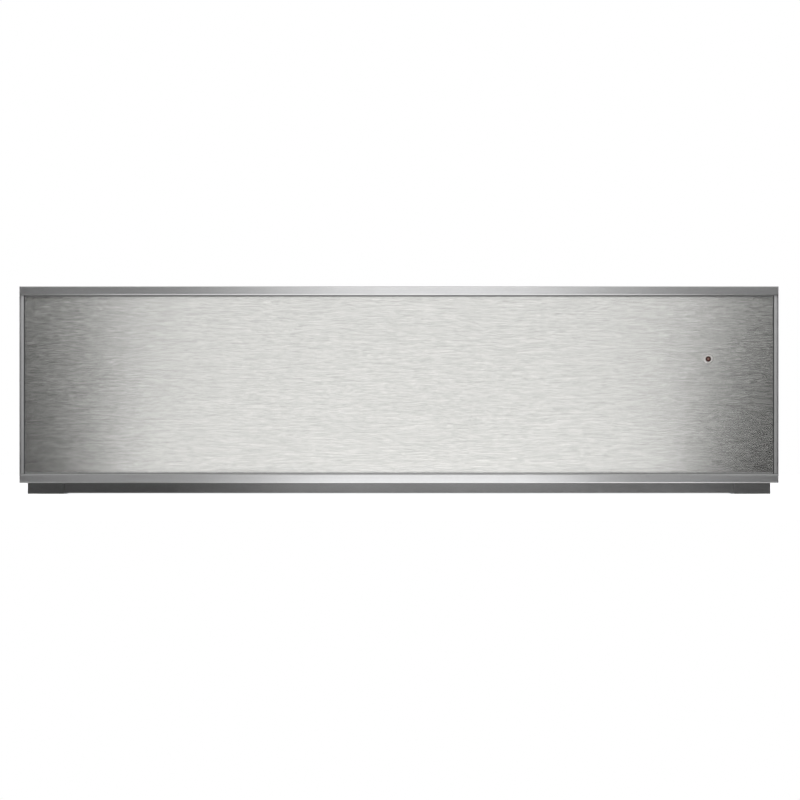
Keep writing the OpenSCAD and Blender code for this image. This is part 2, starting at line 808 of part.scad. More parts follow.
module inner_front_cover() color("lightgray") difference() {
    y = [front_back - cover_edge, front_back];
    span([-frame_in_x, frame_in_x], y, frame_in_z);
    span([-frame_in_x + cover_t, frame_in_x - cover_t], [y[0] - 1, y[1] - cover_t],
        [frame_in_z[0] + cover_t, frame_in_z[1] - cover_t]);
    rod_y(led_d + 2 * fit, led_x, [y[1] - cover_t - 1, y[1] + 1], led_z);
    for (side = [-1, 1], z = flange_screw_z)
        rod_y(screw_d, side * flange_screw_x, [y[1] - cover_t - 1, y[1] + 1], z);
}

module indicator_bezel() color("silver") difference() {
    rod_y(led_d + 2 * bezel_w, led_x, [glass_y - lens_proud / 2, backing_y], led_z);
    rod_y(led_d + 2 * run_fit, led_x, [glass_y - 1, backing_y + 1], led_z);
}

// The lens is the domed tip of a light guide that ends at the board's light source
board_y = front_back + spacer_l;
guide_end = board_y - spacer_l / 2;
module indicator_lens() color("firebrick") {
    dome_h = lens_proud + 0.1;
    rod_y(led_d, led_x, [glass_y + 0.1, guide_end], led_z);
    translate([led_x, glass_y + 0.1, led_z]) rotate([90, 0, 0]) intersection() {
        translate([0, 0, dome_h - led_d]) sphere(r = led_d);
        cylinder(d = led_d - 3 * fit, h = led_d);
    }
}

/* ---------- Control console in the drawer ---------- */

console_y = front_back + console_d / 2;
console_bottom = console_top - box_t;

module control_console() color("silver") difference() {
    x = [-box_in + fit, box_in - fit];
    union() {
        span(x, [front_back, console_back], [console_bottom, console_top]);
        span(x, [console_back - box_t, console_back], [pan_top, console_top]);
    }
    slots(floor((box_in - console_slot_w) / console_slot_pitch), console_slot_pitch,
        console_slot_w, [console_back - box_t, console_back], slot_z);
    translate([knob_x, console_y, console_bottom - 1])
        cylinder(d = bush_d, h = 2 * box_t + 2);
    translate([button_x, console_y, console_bottom - 1])
        cylinder(d = button_d + 2 * run_fit, h = 2 * box_t + 2);
}

module control_board() color("darkgreen") {
    x = [led_x + board_edge - board_l, led_x + board_edge];
    z = [led_z + board_edge - board_h, led_z + board_edge];
    tall = [board_y + board_t, board_y + board_t + component_d];
    span(x, [board_y, board_y + board_t], z);
    for (px = [x[0] + spacer_in, x[1] - spacer_in], pz = [z[0] + spacer_in, z[1] - spacer_in])
        rod_y(spacer_d, px, [front_back, board_y], pz);
    span([x[0] + 3 * spacer_in, x[0] + 3 * spacer_in + transformer_l], tall,
        [z[0] + spacer_in, z[1] - spacer_in]);
    rod_y(led_d, led_x, [guide_end + fit, board_y], led_z);
    for (step = [1:3])
        rod_y(capacitor_d, x[0] + 3 * spacer_in + transformer_l + step * capacitor_pitch,
            tall, (z[0] + z[1]) / 2);
}

module temperature_selector() color("dimgray") translate([knob_x, console_y, 0]) difference() {
    union() {
        span([-selector_w / 2, selector_w / 2], [-selector_w / 2, selector_w / 2],
            [console_bottom - selector_h, console_bottom]);
        translate([0, 0, console_bottom - 1])
            cylinder(d = bush_d - 2 * run_fit, h = 1 + box_t + bush_up);
    }
    translate([0, 0, console_bottom - knob_shaft_in - 1])
        cylinder(d = knob_shaft_d + 2 * run_fit, h = knob_shaft_in + knob_h);
}

module temperature_knob() color("gainsboro") translate([knob_x, console_y, 0]) {
    difference() {
        union() {
            translate([0, 0, console_top + knob_gap])
                cylinder(d = knob_d, h = knob_h - knob_gap);
            for (rib = [1:knob_ribs]) rotate([0, 0, rib * 360 / knob_ribs])
                translate([knob_d / 2, 0, console_top + knob_gap])
                    cylinder(r = knob_rib_r, h = knob_h - knob_gap - 2, $fn = 16);
        }
        translate([0, 0, console_top]) cylinder(d = bush_d + 2, h = 2 * bush_up);
        translate([-pointer_w / 2, 2, console_top + knob_h - pointer_t])
            cube([pointer_w, knob_d / 2 - 3, pointer_t + 1]);
    }
    translate([0, 0, console_bottom - knob_shaft_in])
        cylinder(d = knob_shaft_d, h = knob_shaft_in + box_t + knob_shaft_up);
}

cap_low = console_bottom - fit - button_collar_t;
collar_x = button_d / 2 + button_collar;

module power_button() color("gainsboro") translate([button_x, console_y, 0]) {
    translate([0, 0, cap_low]) cylinder(d = button_d, h = console_top + button_proud - cap_low);
    translate([0, 0, cap_low]) cylinder(r = collar_x, h = button_collar_t);
    translate([0, 0, cap_low - stem_l]) cylinder(d = stem_d, h = stem_l + button_collar_t);
}

// The switch hangs from the console's underside on two legs beside the button's collar
module power_switch() color("dimgray") translate([button_x, console_y, 0]) {
    top = cap_low - stem_l - button_travel - fit;
    leg_x = collar_x + switch_play;
    y = [-switch_d / 2, switch_d / 2];
    span([-leg_x - switch_wall, leg_x + switch_wall], y, [top - switch_h, top]);
    for (side = [-1, 1]) handed(side)
        span([leg_x, leg_x + switch_wall], y, [top - switch_h, console_bottom]);
}

/* ---------- Drawer box ---------- */

module base_pan() color("lightgray") {
    x = box_in - fit;
    y = [front_back, drawer_back];
    span([-x, x], y, [box_z, pan_top]);
    for (side = [-1, 1]) handed(side) {
        span([x - box_t, x], [console_back + fit, box_rear - fit], [box_z, ledge_z]);
        span([x - ledge_w, x], [console_back + fit, box_rear - fit], [ledge_z - box_t, ledge_z]);
    }
}

module box_side(side) color("silver") handed(side) difference() {
    y = [front_back, drawer_back];
    union() {
        span([box_in, box_out], y, [box_z, box_top]);
        span([box_in, box_out + rim_w], y, [box_top - box_t, box_top]);
        span([box_in, box_out + flange_w], [y[0], y[0] + box_t], [box_z + 8, box_top]);
    }
    for (z = flange_screw_z)
        rod_y(screw_d, flange_screw_x, [y[0] - 1, y[0] + box_t + 1], z);
}

module drawer_screws() color("silver") for (side = [-1, 1], z = flange_screw_z)
    handed(side) translate([flange_screw_x, front_back + box_t, z])
        rotate([-90, 0, 0]) screw();

module box_rear_panel() color("silver") difference() {
    span([-box_in + fit, box_in - fit], [box_rear, box_rear + box_t], [pan_top, box_top]);
    rod_y(fan_d + 2 * fan_play, 0, [box_rear - 1, box_rear + box_t + 1], fan_z);
    for (x = [outer_tail_x, inner_tail_x])
        rod_y(element_d + 2 * hole_play, -x, [box_rear - 1, box_rear + box_t + 1], element_z);
}

module floor_insulation() color("khaki") {
    x = box_in - 2 * box_t - 2 * fit;
    span([-x, x], [console_back + fit, box_rear - grille_t - fit],
        [pan_top + fit, pad_top]);
}

// The element lies on the insulation: long runs, half-round bends and two tails
module bend(x, y, r, turn, angle) {
    translate([x, y, element_z]) rotate([0, 0, turn]) rotate_extrude(angle = angle)
        translate([r, 0]) circle(d = element_d);
}

module heating_element() color("dimgray") {
    first_y = (console_back + box_rear - (element_runs - 1) * element_pitch) / 2;
    last_y = first_y + (element_runs - 1) * element_pitch;
    side_x = element_run / 2;
    for (run = [0:element_runs - 1])
        rod_x(element_d, [-side_x, side_x], first_y + run * element_pitch, element_z);
    for (turn = [0:element_runs - 2]) {
        right = turn % 2 == 0;
        bend(right ? side_x : -side_x, first_y + (turn + 0.5) * element_pitch,
            element_pitch / 2, right ? -90 : 90, 180);
    }
    rod_x(element_d, [tail_r - outer_tail_x, -side_x], first_y, element_z);
    bend(tail_r - outer_tail_x, first_y + tail_r, tail_r, 180, 90);
    bend(-side_x, last_y + tail_r, tail_r, 180, 90);
    rod_y(element_d, -outer_tail_x, [first_y + tail_r, tail_end], element_z);
    rod_y(element_d, -inner_tail_x, [last_y + tail_r, tail_end], element_z);
}

module warming_plate() color("darkslategray") {
    x = box_in - 2 * fit - plate_edge;
    span([-x, x], [console_back + plate_edge, box_rear - grille_t - fit],
        [ledge_z, plate_top]);
}

module anti_slip_mat() color("dimgray") {
    x = box_in - mat_border;
    span([-x, x], [console_back + mat_border, box_rear - mat_border],
        [plate_top, plate_top + mat_t]);
}

/* ---------- Fan and duct ---------- */

wheel_y = box_rear + box_t + fan_play;
motor_y = drawer_back - box_t - motor_t;
shaft_end = motor_y + motor_t * 0.75;
ring_pitch = fan_d / 2 / (grille_rings + 0.8);

module fan_grille() color("silver") difference() {
    half = fan_d / 2 + grille_rim;
    span([-half, half], [box_rear - grille_t, box_rear], [fan_z - half, fan_z + half]);
    for (ring = [1:grille_rings], turn = [0:30:330])
        translate([0, box_rear - grille_t / 2, fan_z]) rotate([0, turn, 0])
            translate([(ring + 0.2) * ring_pitch, 0, 0])
                cube([ring_pitch * 0.6, grille_t + 2, ring_pitch * (0.2 + ring * 0.26)],
                    center = true);
}

// The hub, the blades and the shaft end inside the wheel's back plate
module fan_wheel() color("silver") {
    plate_y = wheel_y + fan_t - wheel_plate_t;
    inside = plate_y + wheel_plate_t / 2;
    rod_y(fan_d, 0, [plate_y, wheel_y + fan_t], fan_z);
    rod_y(3 * fan_shaft_d, 0, [wheel_y, inside], fan_z);
    for (blade = [0:fan_blades - 1])
        translate([0, wheel_y, fan_z]) rotate([0, blade * 360 / fan_blades, 0])
            translate([fan_d / 2 - blade_w - 1, 0, -blade_t / 2])
                cube([blade_w, inside - wheel_y, blade_t]);
    rod_y(fan_shaft_d, 0, [inside, shaft_end], fan_z);
}

module fan_motor() color("dimgray") difference() {
    union() {
        rod_y(motor_d, 0, [motor_y, motor_y + motor_t], fan_z);
        for (side = [-1, 1])
            span([side * motor_d / 2 - lug_w / 2, side * motor_d / 2 + lug_w / 2],
                [motor_y + motor_t - lug_t, motor_y + motor_t],
                [fan_z - lug_w / 2, fan_z + lug_w / 2]);
    }
    rod_y(fan_shaft_d + 2 * run_fit, 0, [motor_y - 1, shaft_end + 1], fan_z);
}

module duct_cover() color("gainsboro") difference() {
    x = box_in - fit;
    top = box_top - duct_drop;
    span([-x, x], [box_rear + box_t, drawer_back], [pan_top, top]);
    span([-x + box_t, x - box_t], [box_rear + box_t - 1, drawer_back - box_t],
        [pan_top - 1, top - box_t]);
    slots(duct_slots, duct_slot_pitch, duct_slot_w, [drawer_back - box_t, drawer_back],
        pan_top + slot_up);
}

module temperature_limiter() color("gainsboro") {
    y = box_rear + box_t;
    rod_y(limiter_d, limiter_x, [y, y + limiter_t], fan_z);
    for (side = [-1, 1])
        translate([limiter_x + side * limiter_d / 4, 0, fan_z])
            span([-tab_w / 2, tab_w / 2], [y + limiter_t, y + 2 * limiter_t],
                [-tab_t / 2, tab_t / 2]);
}

base_tray();
side_wall(-1);  // left_side_wall
side_wall(1);  // right_side_wall
rear_wall();
top_cover();
front_strip();
mounting_angle(-1);  // left_mounting_angle
mounting_angle(1);  // right_mounting_angle
casing_screws();
slide_bracket(-1);  // left_slide_bracket
slide_bracket(1);  // right_slide_bracket
cabinet_rail(-1);  // left_cabinet_rail
cabinet_rail(1);  // right_cabinet_rail
push_latch_housing();
latch_plunger();
latch_spring();
terminal_block();
cable_gland();
flexible_lead();
top_frame_rail();
bottom_frame_rail();
frame_stile(-1);  // left_frame_stile
frame_stile(1);  // right_frame_stile
glass_pane();
glass_seal();
brushed_backing();
front_insulation();
inner_front_cover();
indicator_bezel();
indicator_lens();
control_console();
control_board();
temperature_selector();
temperature_knob();
power_switch();
power_button();
base_pan();
box_side(-1);  // left_box_side
box_side(1);  // right_box_side
box_rear_panel();
floor_insulation();
heating_element();
warming_plate();
anti_slip_mat();
fan_grille();
fan_wheel();
fan_motor();
duct_cover();
temperature_limiter();
drawer_screws();
strike_pad();
drawer_rail(-1);  // left_drawer_rail
drawer_rail(1);  // right_drawer_rail
middle_rail(-1);  // left_middle_rail
middle_rail(1);  // right_middle_rail
outer_cage(-1);  // left_outer_cage
outer_cage(1);  // right_outer_cage
inner_cage(-1);  // left_inner_cage
inner_cage(1);  // right_inner_cage
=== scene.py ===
"""Looks of a push-to-open warming drawer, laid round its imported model. Metres, front towards -Y."""
import json
import math

import bpy
from mathutils import Matrix, Vector


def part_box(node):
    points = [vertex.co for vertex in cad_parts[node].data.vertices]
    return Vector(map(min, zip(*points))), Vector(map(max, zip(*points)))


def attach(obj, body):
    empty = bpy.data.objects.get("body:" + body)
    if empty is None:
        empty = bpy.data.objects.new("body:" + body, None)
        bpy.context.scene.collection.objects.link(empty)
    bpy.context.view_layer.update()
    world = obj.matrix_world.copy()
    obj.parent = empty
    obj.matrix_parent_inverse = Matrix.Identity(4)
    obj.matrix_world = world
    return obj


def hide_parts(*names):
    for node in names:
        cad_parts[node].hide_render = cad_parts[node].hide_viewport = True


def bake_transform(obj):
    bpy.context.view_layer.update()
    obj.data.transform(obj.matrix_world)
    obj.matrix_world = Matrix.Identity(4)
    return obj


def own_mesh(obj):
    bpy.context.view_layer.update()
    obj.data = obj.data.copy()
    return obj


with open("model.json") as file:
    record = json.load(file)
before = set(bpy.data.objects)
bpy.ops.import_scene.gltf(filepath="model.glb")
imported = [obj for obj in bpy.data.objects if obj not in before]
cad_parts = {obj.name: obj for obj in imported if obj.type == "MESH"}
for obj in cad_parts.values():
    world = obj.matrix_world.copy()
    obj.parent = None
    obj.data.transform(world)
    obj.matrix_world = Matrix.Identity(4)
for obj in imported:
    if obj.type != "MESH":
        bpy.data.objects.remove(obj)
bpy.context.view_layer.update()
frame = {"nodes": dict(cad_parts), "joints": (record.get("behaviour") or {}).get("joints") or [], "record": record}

record = frame["record"]
SLOT = {part["node"]: part["material_slot"] for part in record["subparts"]}
BODY = {node: body for body, nodes in record["behaviour"]["bodies"].items() for node in nodes}
MM = 0.001
EPS = 0.05 * MM               # places closer than this are the same place
SHARP = math.radians(35)      # edges sharper than this stay edges when a piece is smoothed
X, Y, Z = Vector((1, 0, 0)), Vector((0, 1, 0)), Vector((0, 0, 1))

# The front face, and where the camera stands
front_low, front_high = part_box("top_frame_rail")
front_y = front_low.y
front_top = front_high.z
front_half = front_high.x
CAMERA_AWAY = 13.2            # from the camera to the front face
CAMERA_X, CAMERA_Z = 0.001, 0.0932
LENS, SENSOR = 600, 36        # mm


# ---------- Shader tools ----------

class Value:
    """A shader value. Arithmetic on it, with numbers or other values, adds Math nodes."""

    def __init__(self, paint, socket):
        self.paint = paint
        self.socket = socket

    def __add__(self, other):
        return self.paint.maths("ADD", self, other)

    def __radd__(self, other):
        return self.paint.maths("ADD", other, self)

    def __sub__(self, other):
        return self.paint.maths("SUBTRACT", self, other)

    def __rsub__(self, other):
        return self.paint.maths("SUBTRACT", other, self)

    def __mul__(self, other):
        return self.paint.maths("MULTIPLY", self, other)

    def __rmul__(self, other):
        return self.paint.maths("MULTIPLY", other, self)

    def __truediv__(self, other):
        return self.paint.maths("DIVIDE", self, other)

    def __rtruediv__(self, other):
        return self.paint.maths("DIVIDE", other, self)


class Paint:
    """The nodes of a material or of the world."""

    def __init__(self, owner):
        owner.use_nodes = True
        self.tree = owner.node_tree
        self.tree.nodes.clear()

    def node(self, kind, settings=None, *values, out=None, **named):
        """Adds a node: its settings first, then values or links for its sockets."""
        made = self.tree.nodes.new("ShaderNode" + kind)
        for name, setting in (settings or {}).items():
            if name == "stops":
                set_stops(made.color_ramp.elements, setting)
            else:
                setattr(made, name, setting)
        usable = [socket for socket in made.inputs if socket.enabled]
        for socket, value in zip(usable, values):
            self.feed(socket, value)
        for name, value in named.items():
            self.feed(made.inputs[name.replace("_", " ")], value)
        given = [socket for socket in made.outputs if socket.enabled]
        if out:
            given = [made.outputs[out]]
        return Value(self, given[0]) if given else None

    def feed(self, socket, value):
        if isinstance(value, Value):
            self.tree.links.new(value.socket, socket)
        else:
            socket.default_value = value

    def maths(self, operation, *operands):
        return self.node("Math", {"operation": operation}, *operands)

    def place(self):
        return self.node("TexCoord", out="Object")

    def along(self, axis):
        return self.node("SeparateXYZ", {}, self.place(), out=axis)

    def noise(self, size, stretch=(1, 1, 1), detail=2.0, rough=0.5):
        """Noise with blotches of about this size in metres, drawn out along each axis."""
        scale = [1 / (size * part) for part in stretch]
        where = self.node("Mapping", {}, Vector=self.place(), Scale=scale)
        return self.node("TexNoise", {}, Vector=where, Scale=1.0, Detail=detail, Roughness=rough)

    def cells(self, size, feature="F1", out="Color"):
        """Crystals of about this size in metres."""
        where = self.node("Mapping", {}, Vector=self.place(), Scale=[1 / size] * 3)
        return self.node("TexVoronoi", {"feature": feature}, Vector=where, Scale=1.0, out=out)

    def waves(self, pitch, axis):
        """Even ridges across an axis, from 0 to 1."""
        return self.maths("SINE", self.along(axis) * (2 * math.pi / pitch)) * 0.5 + 0.5

    def mix(self, factor, first, second):
        return self.node("Mix", {"data_type": "RGBA"}, factor, first, second)

    def ramp(self, factor, *stops):
        return self.node("ValToRGB", {"stops": stops}, factor)

    def bump(self, height, depth):
        return self.node("Bump", {}, Strength=1.0, Distance=depth, Height=height)

    def surface(self, shader):
        self.node("OutputMaterial", {}, Surface=shader)

    def solid(self, **inputs):
        self.surface(self.node("BsdfPrincipled", {}, **inputs))


def painted(name):
    """A new material, and the paint that gives it its nodes."""
    material = bpy.data.materials.new(name)
    return material, Paint(material)


def set_stops(elements, stops):
    while len(elements) < len(stops):
        elements.new(1.0)
    for element, (position, colour) in zip(elements, stops):
        element.position = position
        element.color = colour


def rgb(red, green=None, blue=None):
    return (red, red if green is None else green, red if blue is None else blue, 1.0)


def shade(colour, share):
    """A colour made lighter or darker by a share."""
    return (*[min(1.0, part * share) for part in colour[:3]], 1.0)


def spread(noise, contrast):
    """Noise drawn apart round its middle, to work as a mixing factor."""
    return (noise - 0.5) * contrast + 0.5


def smoothstep(value, start, end):
    return value.paint.node(
        "MapRange", {"interpolation_type": "SMOOTHSTEP"}, value, start, end, 0.0, 1.0)


# ---------- Materials ----------

def metal(name, colour, roughness, grain, stretch, contrast, depth=0.0):
    """A metal with grain: blotches of one size, drawn out along the way it was rolled or brushed."""
    material, paint = painted(name)
    fine = paint.noise(grain, stretch, 3.0)
    broad = paint.noise(grain * 9, stretch, 2.0)
    tone = spread(fine * 0.7 + broad * 0.3, contrast)
    inputs = {
        "Base_Color": paint.mix(tone, shade(colour, 0.9), shade(colour, 1.1)),
        "Roughness": (fine - 0.5) * (roughness * 0.25) + roughness,
        "Metallic": 1.0,
    }
    if depth:
        inputs["Normal"] = paint.bump(fine, depth)
    paint.solid(**inputs)
    return material


def brushed_front():
    """Steel brushed along the front: short fine streaks over faint longer ones."""
    material, paint = painted("brushed_front")
    short = paint.noise(0.8 * MM, (9, 9, 0.9), 1.0)
    longer = paint.noise(0.9 * MM, (34, 34, 0.9), 1.0)
    streaks = short * 0.6 + longer * 0.4
    tone = spread(streaks, 2.6)
    paint.solid(
        Base_Color=paint.mix(tone, rgb(0.565, 0.563, 0.556), rgb(0.735, 0.733, 0.725)),
        Metallic=1.0, Roughness=(short - 0.5) * 0.10 + 0.21, Anisotropic=0.65,
        Anisotropic_Rotation=0.25, Normal=paint.bump(streaks, 0.004 * MM))
    return material


def front_glass():
    """A clear pane: what lies behind shows through, under its own thin reflection."""
    material, paint = painted("front_glass")
    clear = paint.node("BsdfTransparent", {}, Color=rgb(0.985, 0.985, 0.98))
    smudge = paint.noise(40 * MM, detail=3.0) * 0.03 + 0.01
    gloss = paint.node("BsdfGlossy", {}, Color=rgb(1.0), Roughness=smudge)
    fresnel = paint.node("Fresnel", {}, IOR=1.45) * 0.6
    paint.surface(paint.node("MixShader", {}, fresnel, clear, gloss))
    return material


def spangled(name, colour, roughness):
    """Galvanised sheet, with zinc crystals, their faint frost and broad stains."""
    material, paint = painted(name)
    crystal = paint.node("SeparateColor", {}, paint.cells(9 * MM), out="Red")
    frost = paint.noise(1.6 * MM, detail=3.0)
    stain = paint.noise(120 * MM, detail=3.0)
    tone = crystal * 0.45 + frost * 0.3 + stain * 0.25
    paint.solid(
        Base_Color=paint.mix(tone, shade(colour, 0.78), shade(colour, 1.16)), Metallic=1.0,
        Roughness=crystal * 0.08 + frost * 0.06 + (roughness - 0.07))
    return material


def plastic(name, colour, roughness):
    """A moulded plastic with a fine spark-eroded grain."""
    material, paint = painted(name)
    fine = paint.noise(0.5 * MM)
    broad = paint.noise(25 * MM, detail=3.0)
    tone = spread(fine * 0.4 + broad * 0.6, 2.0)
    paint.solid(
        Base_Color=paint.mix(tone, shade(colour, 0.9), shade(colour, 1.1)),
        Roughness=(fine - 0.5) * 0.2 + roughness, Normal=paint.bump(fine, 0.01 * MM))
    return material


def frame_seal():
    """The glossy seal round the pane: painted shade down its sides, painted light along its bottom."""
    material, paint = painted("black_seal")
    low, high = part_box("glass_pane")
    x, z = paint.along("X"), paint.along("Z")
    side = smoothstep(paint.maths("ABSOLUTE", x), high.x - 0.3 * MM, high.x + 0.1 * MM)
    bottom = 1 - smoothstep(z, low.z - 0.1 * MM, low.z + 0.3 * MM)
    fine = paint.noise(0.5 * MM)
    # Painted shade darkens the sides, where the stiles shade the seal, and painted light brightens the bottom.
    plain, in_shade, dust_and_painted_light = 0.18, 0.13, 0.12
    level = side * -in_shade + bottom * (1 - side) * dust_and_painted_light + fine * 0.04 + plain
    paint.solid(Base_Color=paint.mix(level, rgb(0.0), rgb(1.0)), Metallic=0.5,
                Roughness=fine * 0.2 + 0.22)
    return material


def mineral_wool():
    material, paint = painted("mineral_wool")
    fibres = paint.noise(1.2 * MM, (6, 3, 1), 4.0, 0.7)
    clumps = paint.noise(14 * MM, detail=3.0)
    tone = spread(fibres * 0.6 + clumps * 0.4, 2.4)
    paint.solid(
        Base_Color=paint.mix(tone, rgb(0.30, 0.24, 0.11), rgb(0.72, 0.66, 0.42)),
        Roughness=0.95, Sheen_Weight=0.3, Normal=paint.bump(fibres, 0.8 * MM))
    return material


def circuit_board():
    """Green solder mask over copper tracks."""
    material, paint = painted("board_green")
    tracks = paint.cells(7 * MM, "DISTANCE_TO_EDGE", "Distance")
    on_track = paint.maths("LESS_THAN", tracks, 0.07)
    speckle = paint.noise(2 * MM)
    mask = paint.mix(speckle, rgb(0.008, 0.07, 0.025), rgb(0.015, 0.11, 0.04))
    paint.solid(
        Base_Color=paint.mix(on_track, mask, rgb(0.03, 0.2, 0.06)),
        Roughness=speckle * 0.1 + 0.3, Coat_Weight=0.4, Normal=paint.bump(on_track, 0.03 * MM))
    return material


def element_sheath():
    """Steel tube that has been hot: dark oxide with straw and blue tints."""
    material, paint = painted("element_sheath")
    tint = paint.noise(35 * MM, detail=3.0)
    scale = paint.noise(0.8 * MM, detail=3.0)
    colour = paint.ramp(tint, (0.3, rgb(0.10, 0.075, 0.055)), (0.5, rgb(0.16, 0.14, 0.12)),
                        (0.7, rgb(0.09, 0.10, 0.13)))
    paint.solid(Base_Color=colour, Metallic=0.8, Roughness=scale * 0.3 + 0.3,
                Normal=paint.bump(scale, 0.02 * MM))
    return material


def dark_glass():
    """The warming plate: near-black glass, ground along its edge and finely marked by use."""
    material, paint = painted("dark_glass")
    marks = paint.noise(3 * MM, (5, 1, 1), 4.0, 0.7)
    smear = paint.noise(70 * MM)
    paint.solid(
        Base_Color=paint.mix(smear, rgb(0.006, 0.007, 0.008), rgb(0.013, 0.014, 0.016)),
        Roughness=marks * 0.10 + smear * 0.05 + 0.02, IOR=1.52, Coat_Weight=0.3)
    return material


def silicone(name, colour):
    material, paint = painted(name)
    dust_and_painted_light = paint.noise(0.7 * MM, detail=3.0)
    broad = paint.noise(90 * MM, detail=3.0)
    tone = spread(dust_and_painted_light * 0.5 + broad * 0.5, 2.0)
    paint.solid(
        Base_Color=paint.mix(tone, shade(colour, 0.8), shade(colour, 1.25)),
        Roughness=dust_and_painted_light * 0.2 + 0.6, Sheen_Weight=0.15, Normal=paint.bump(dust_and_painted_light, 0.02 * MM))
    return material


def red_lens():
    """A dark red lens, with a painted highlight as a pale spot in its middle."""
    material, paint = painted("red_lens")
    low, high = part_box("indicator_lens")
    x = paint.along("X") - (low.x + high.x) / 2
    z = paint.along("Z") - (low.z + high.z) / 2
    from_middle = paint.maths("SQRT", x * x + z * z)
    # Painted highlight: a pale spot in the middle of the lens.
    painted_highlight = 1 - smoothstep(from_middle, 0.3 * MM, 1.5 * MM)
    depth = paint.noise(1.5 * MM)
    body = paint.mix(depth, rgb(0.026, 0.008, 0.006), rgb(0.050, 0.016, 0.012))
    paint.solid(Base_Color=paint.mix(painted_highlight, body, rgb(0.32, 0.17, 0.14)),
                Roughness=depth * 0.1 + 0.2, IOR=1.4)
    return material


def ribbon_sheath():
    """A flat lead: parallel cores show as ribs along it."""
    material, paint = painted("ribbon_sheath")
    ribs = paint.waves(1.5 * MM, "X")
    fine = paint.noise(0.5 * MM)
    paint.solid(
        Base_Color=paint.mix(ribs, rgb(0.055, 0.056, 0.06), rgb(0.12, 0.122, 0.13)),
        Roughness=fine * 0.15 + 0.4, Normal=paint.bump(ribs, 0.25 * MM))
    return material


MATERIALS = {
    "galvanised_sheet": spangled("galvanised_sheet", rgb(0.55, 0.57, 0.585), 0.42),
    "dark_strip": metal("dark_strip", rgb(0.225, 0.225, 0.225), 0.36, 0.6 * MM, (6, 1, 1), 2.0,
                        0.004 * MM),
    "zinc_plated": metal("zinc_plated", rgb(0.62, 0.63, 0.64), 0.33, 0.5 * MM, (1, 30, 1), 1.2),
    "cage_steel": metal("cage_steel", rgb(0.50, 0.49, 0.47), 0.3, 0.7 * MM, (1, 8, 1), 2.4),
    "black_plastic": plastic("black_plastic", rgb(0.022, 0.022, 0.024), 0.45),
    "white_plastic": plastic("white_plastic", rgb(0.70, 0.695, 0.67), 0.42),
    "pale_plastic": plastic("pale_plastic", rgb(0.58, 0.58, 0.56), 0.4),
    "ribbon_sheath": ribbon_sheath(),
    "frame_aluminium": metal("frame_aluminium", rgb(0.67, 0.67, 0.672), 0.36, 0.5 * MM,
                             (8, 1, 1), 1.6),
    "front_glass": front_glass(),
    "black_seal": frame_seal(),
    "brushed_front": brushed_front(),
    "mineral_wool": mineral_wool(),
    "stainless_sheet": metal("stainless_sheet", rgb(0.60, 0.595, 0.585), 0.30, 0.5 * MM,
                             (30, 30, 1), 1.5),
    "bright_ring": metal("bright_ring", rgb(0.84, 0.81, 0.79), 0.5, 0.4 * MM, (1, 1, 1), 1.0),
    "red_lens": red_lens(),
    "board_green": circuit_board(),
    "knob_metal": metal("knob_metal", rgb(0.62, 0.62, 0.61), 0.26, 0.4 * MM, (4, 4, 1), 2.2),
    "element_sheath": element_sheath(),
    "dark_glass": dark_glass(),
    "grey_mat": silicone("grey_mat", rgb(0.075, 0.078, 0.083)),
    "fan_alloy": metal("fan_alloy", rgb(0.60, 0.60, 0.60), 0.33, 0.8 * MM, (1, 1, 1), 2.2),
    "motor_steel": metal("motor_steel", rgb(0.20, 0.205, 0.21), 0.42, 0.8 * MM, (1, 1, 1), 2.2),
    "limiter_can": metal("limiter_can", rgb(0.66, 0.65, 0.62), 0.3, 0.6 * MM, (1, 1, 1), 2.2),
}


# ---------- Modelling tools ----------

def only(piece):
    """Makes a piece the only one that operators act on."""
    if bpy.context.mode != "OBJECT":
        bpy.ops.object.mode_set(mode="OBJECT")
    bpy.ops.object.select_all(action="DESELECT")
    piece.select_set(True)
    bpy.context.view_layer.objects.active = piece
    return piece


def select(piece, kind, test):
    """Goes into edit mode with only those faces, edges or vertices selected that pass a test."""
    only(piece)
    mesh = piece.data
    for group in (mesh.vertices, mesh.edges, mesh.polygons):
        group.foreach_set("select", [False] * len(group))
    chosen = {"FACE": mesh.polygons, "EDGE": mesh.edges, "VERT": mesh.vertices}[kind]
    for part in chosen:
        part.select = bool(test(part))
    bpy.context.tool_settings.mesh_select_mode = (kind == "VERT", kind == "EDGE", kind == "FACE")
    bpy.ops.object.mode_set(mode="EDIT")


def edge_ends(piece, edge):
    return [piece.data.vertices[index].co for index in edge.vertices]


def leave_edit():
    bpy.ops.object.mode_set(mode="OBJECT")


def every(part):
    """The test that all faces, edges or vertices pass."""
    return True


def apply_modifier(piece, kind, **settings):
    only(piece)
    modifier = piece.modifiers.new(kind.lower(), kind)
    for name, setting in settings.items():
        setattr(modifier, name, setting)
    bpy.ops.object.modifier_apply(modifier=modifier.name)
    return piece


def settle(piece):
    """Puts a piece's place and turn into its mesh."""
    only(piece)
    bpy.ops.object.transform_apply(location=True, rotation=True, scale=True)
    return piece


def outwards(piece):
    """Merges what meets in a piece, and turns its faces outwards."""
    select(piece, "FACE", every)
    bpy.ops.mesh.remove_doubles(threshold=1e-6)
    bpy.ops.mesh.normals_make_consistent(inside=False)
    leave_edit()
    return piece


def smooth(piece, angle=SHARP):
    """Smooths a piece, with its large flat faces kept flat."""
    only(piece)
    bpy.ops.object.shade_smooth_by_angle(angle=angle)
    return apply_modifier(piece, "WEIGHTED_NORMAL", mode="FACE_AREA", keep_sharp=True)


def soften(piece, width, segments=2, angle=SHARP):
    """Rounds every sharp edge of a piece a little."""
    apply_modifier(piece, "BEVEL", width=width, segments=segments, limit_method="ANGLE",
                   angle_limit=angle, use_clamp_overlap=True, miter_outer="MITER_ARC")
    return smooth(piece)


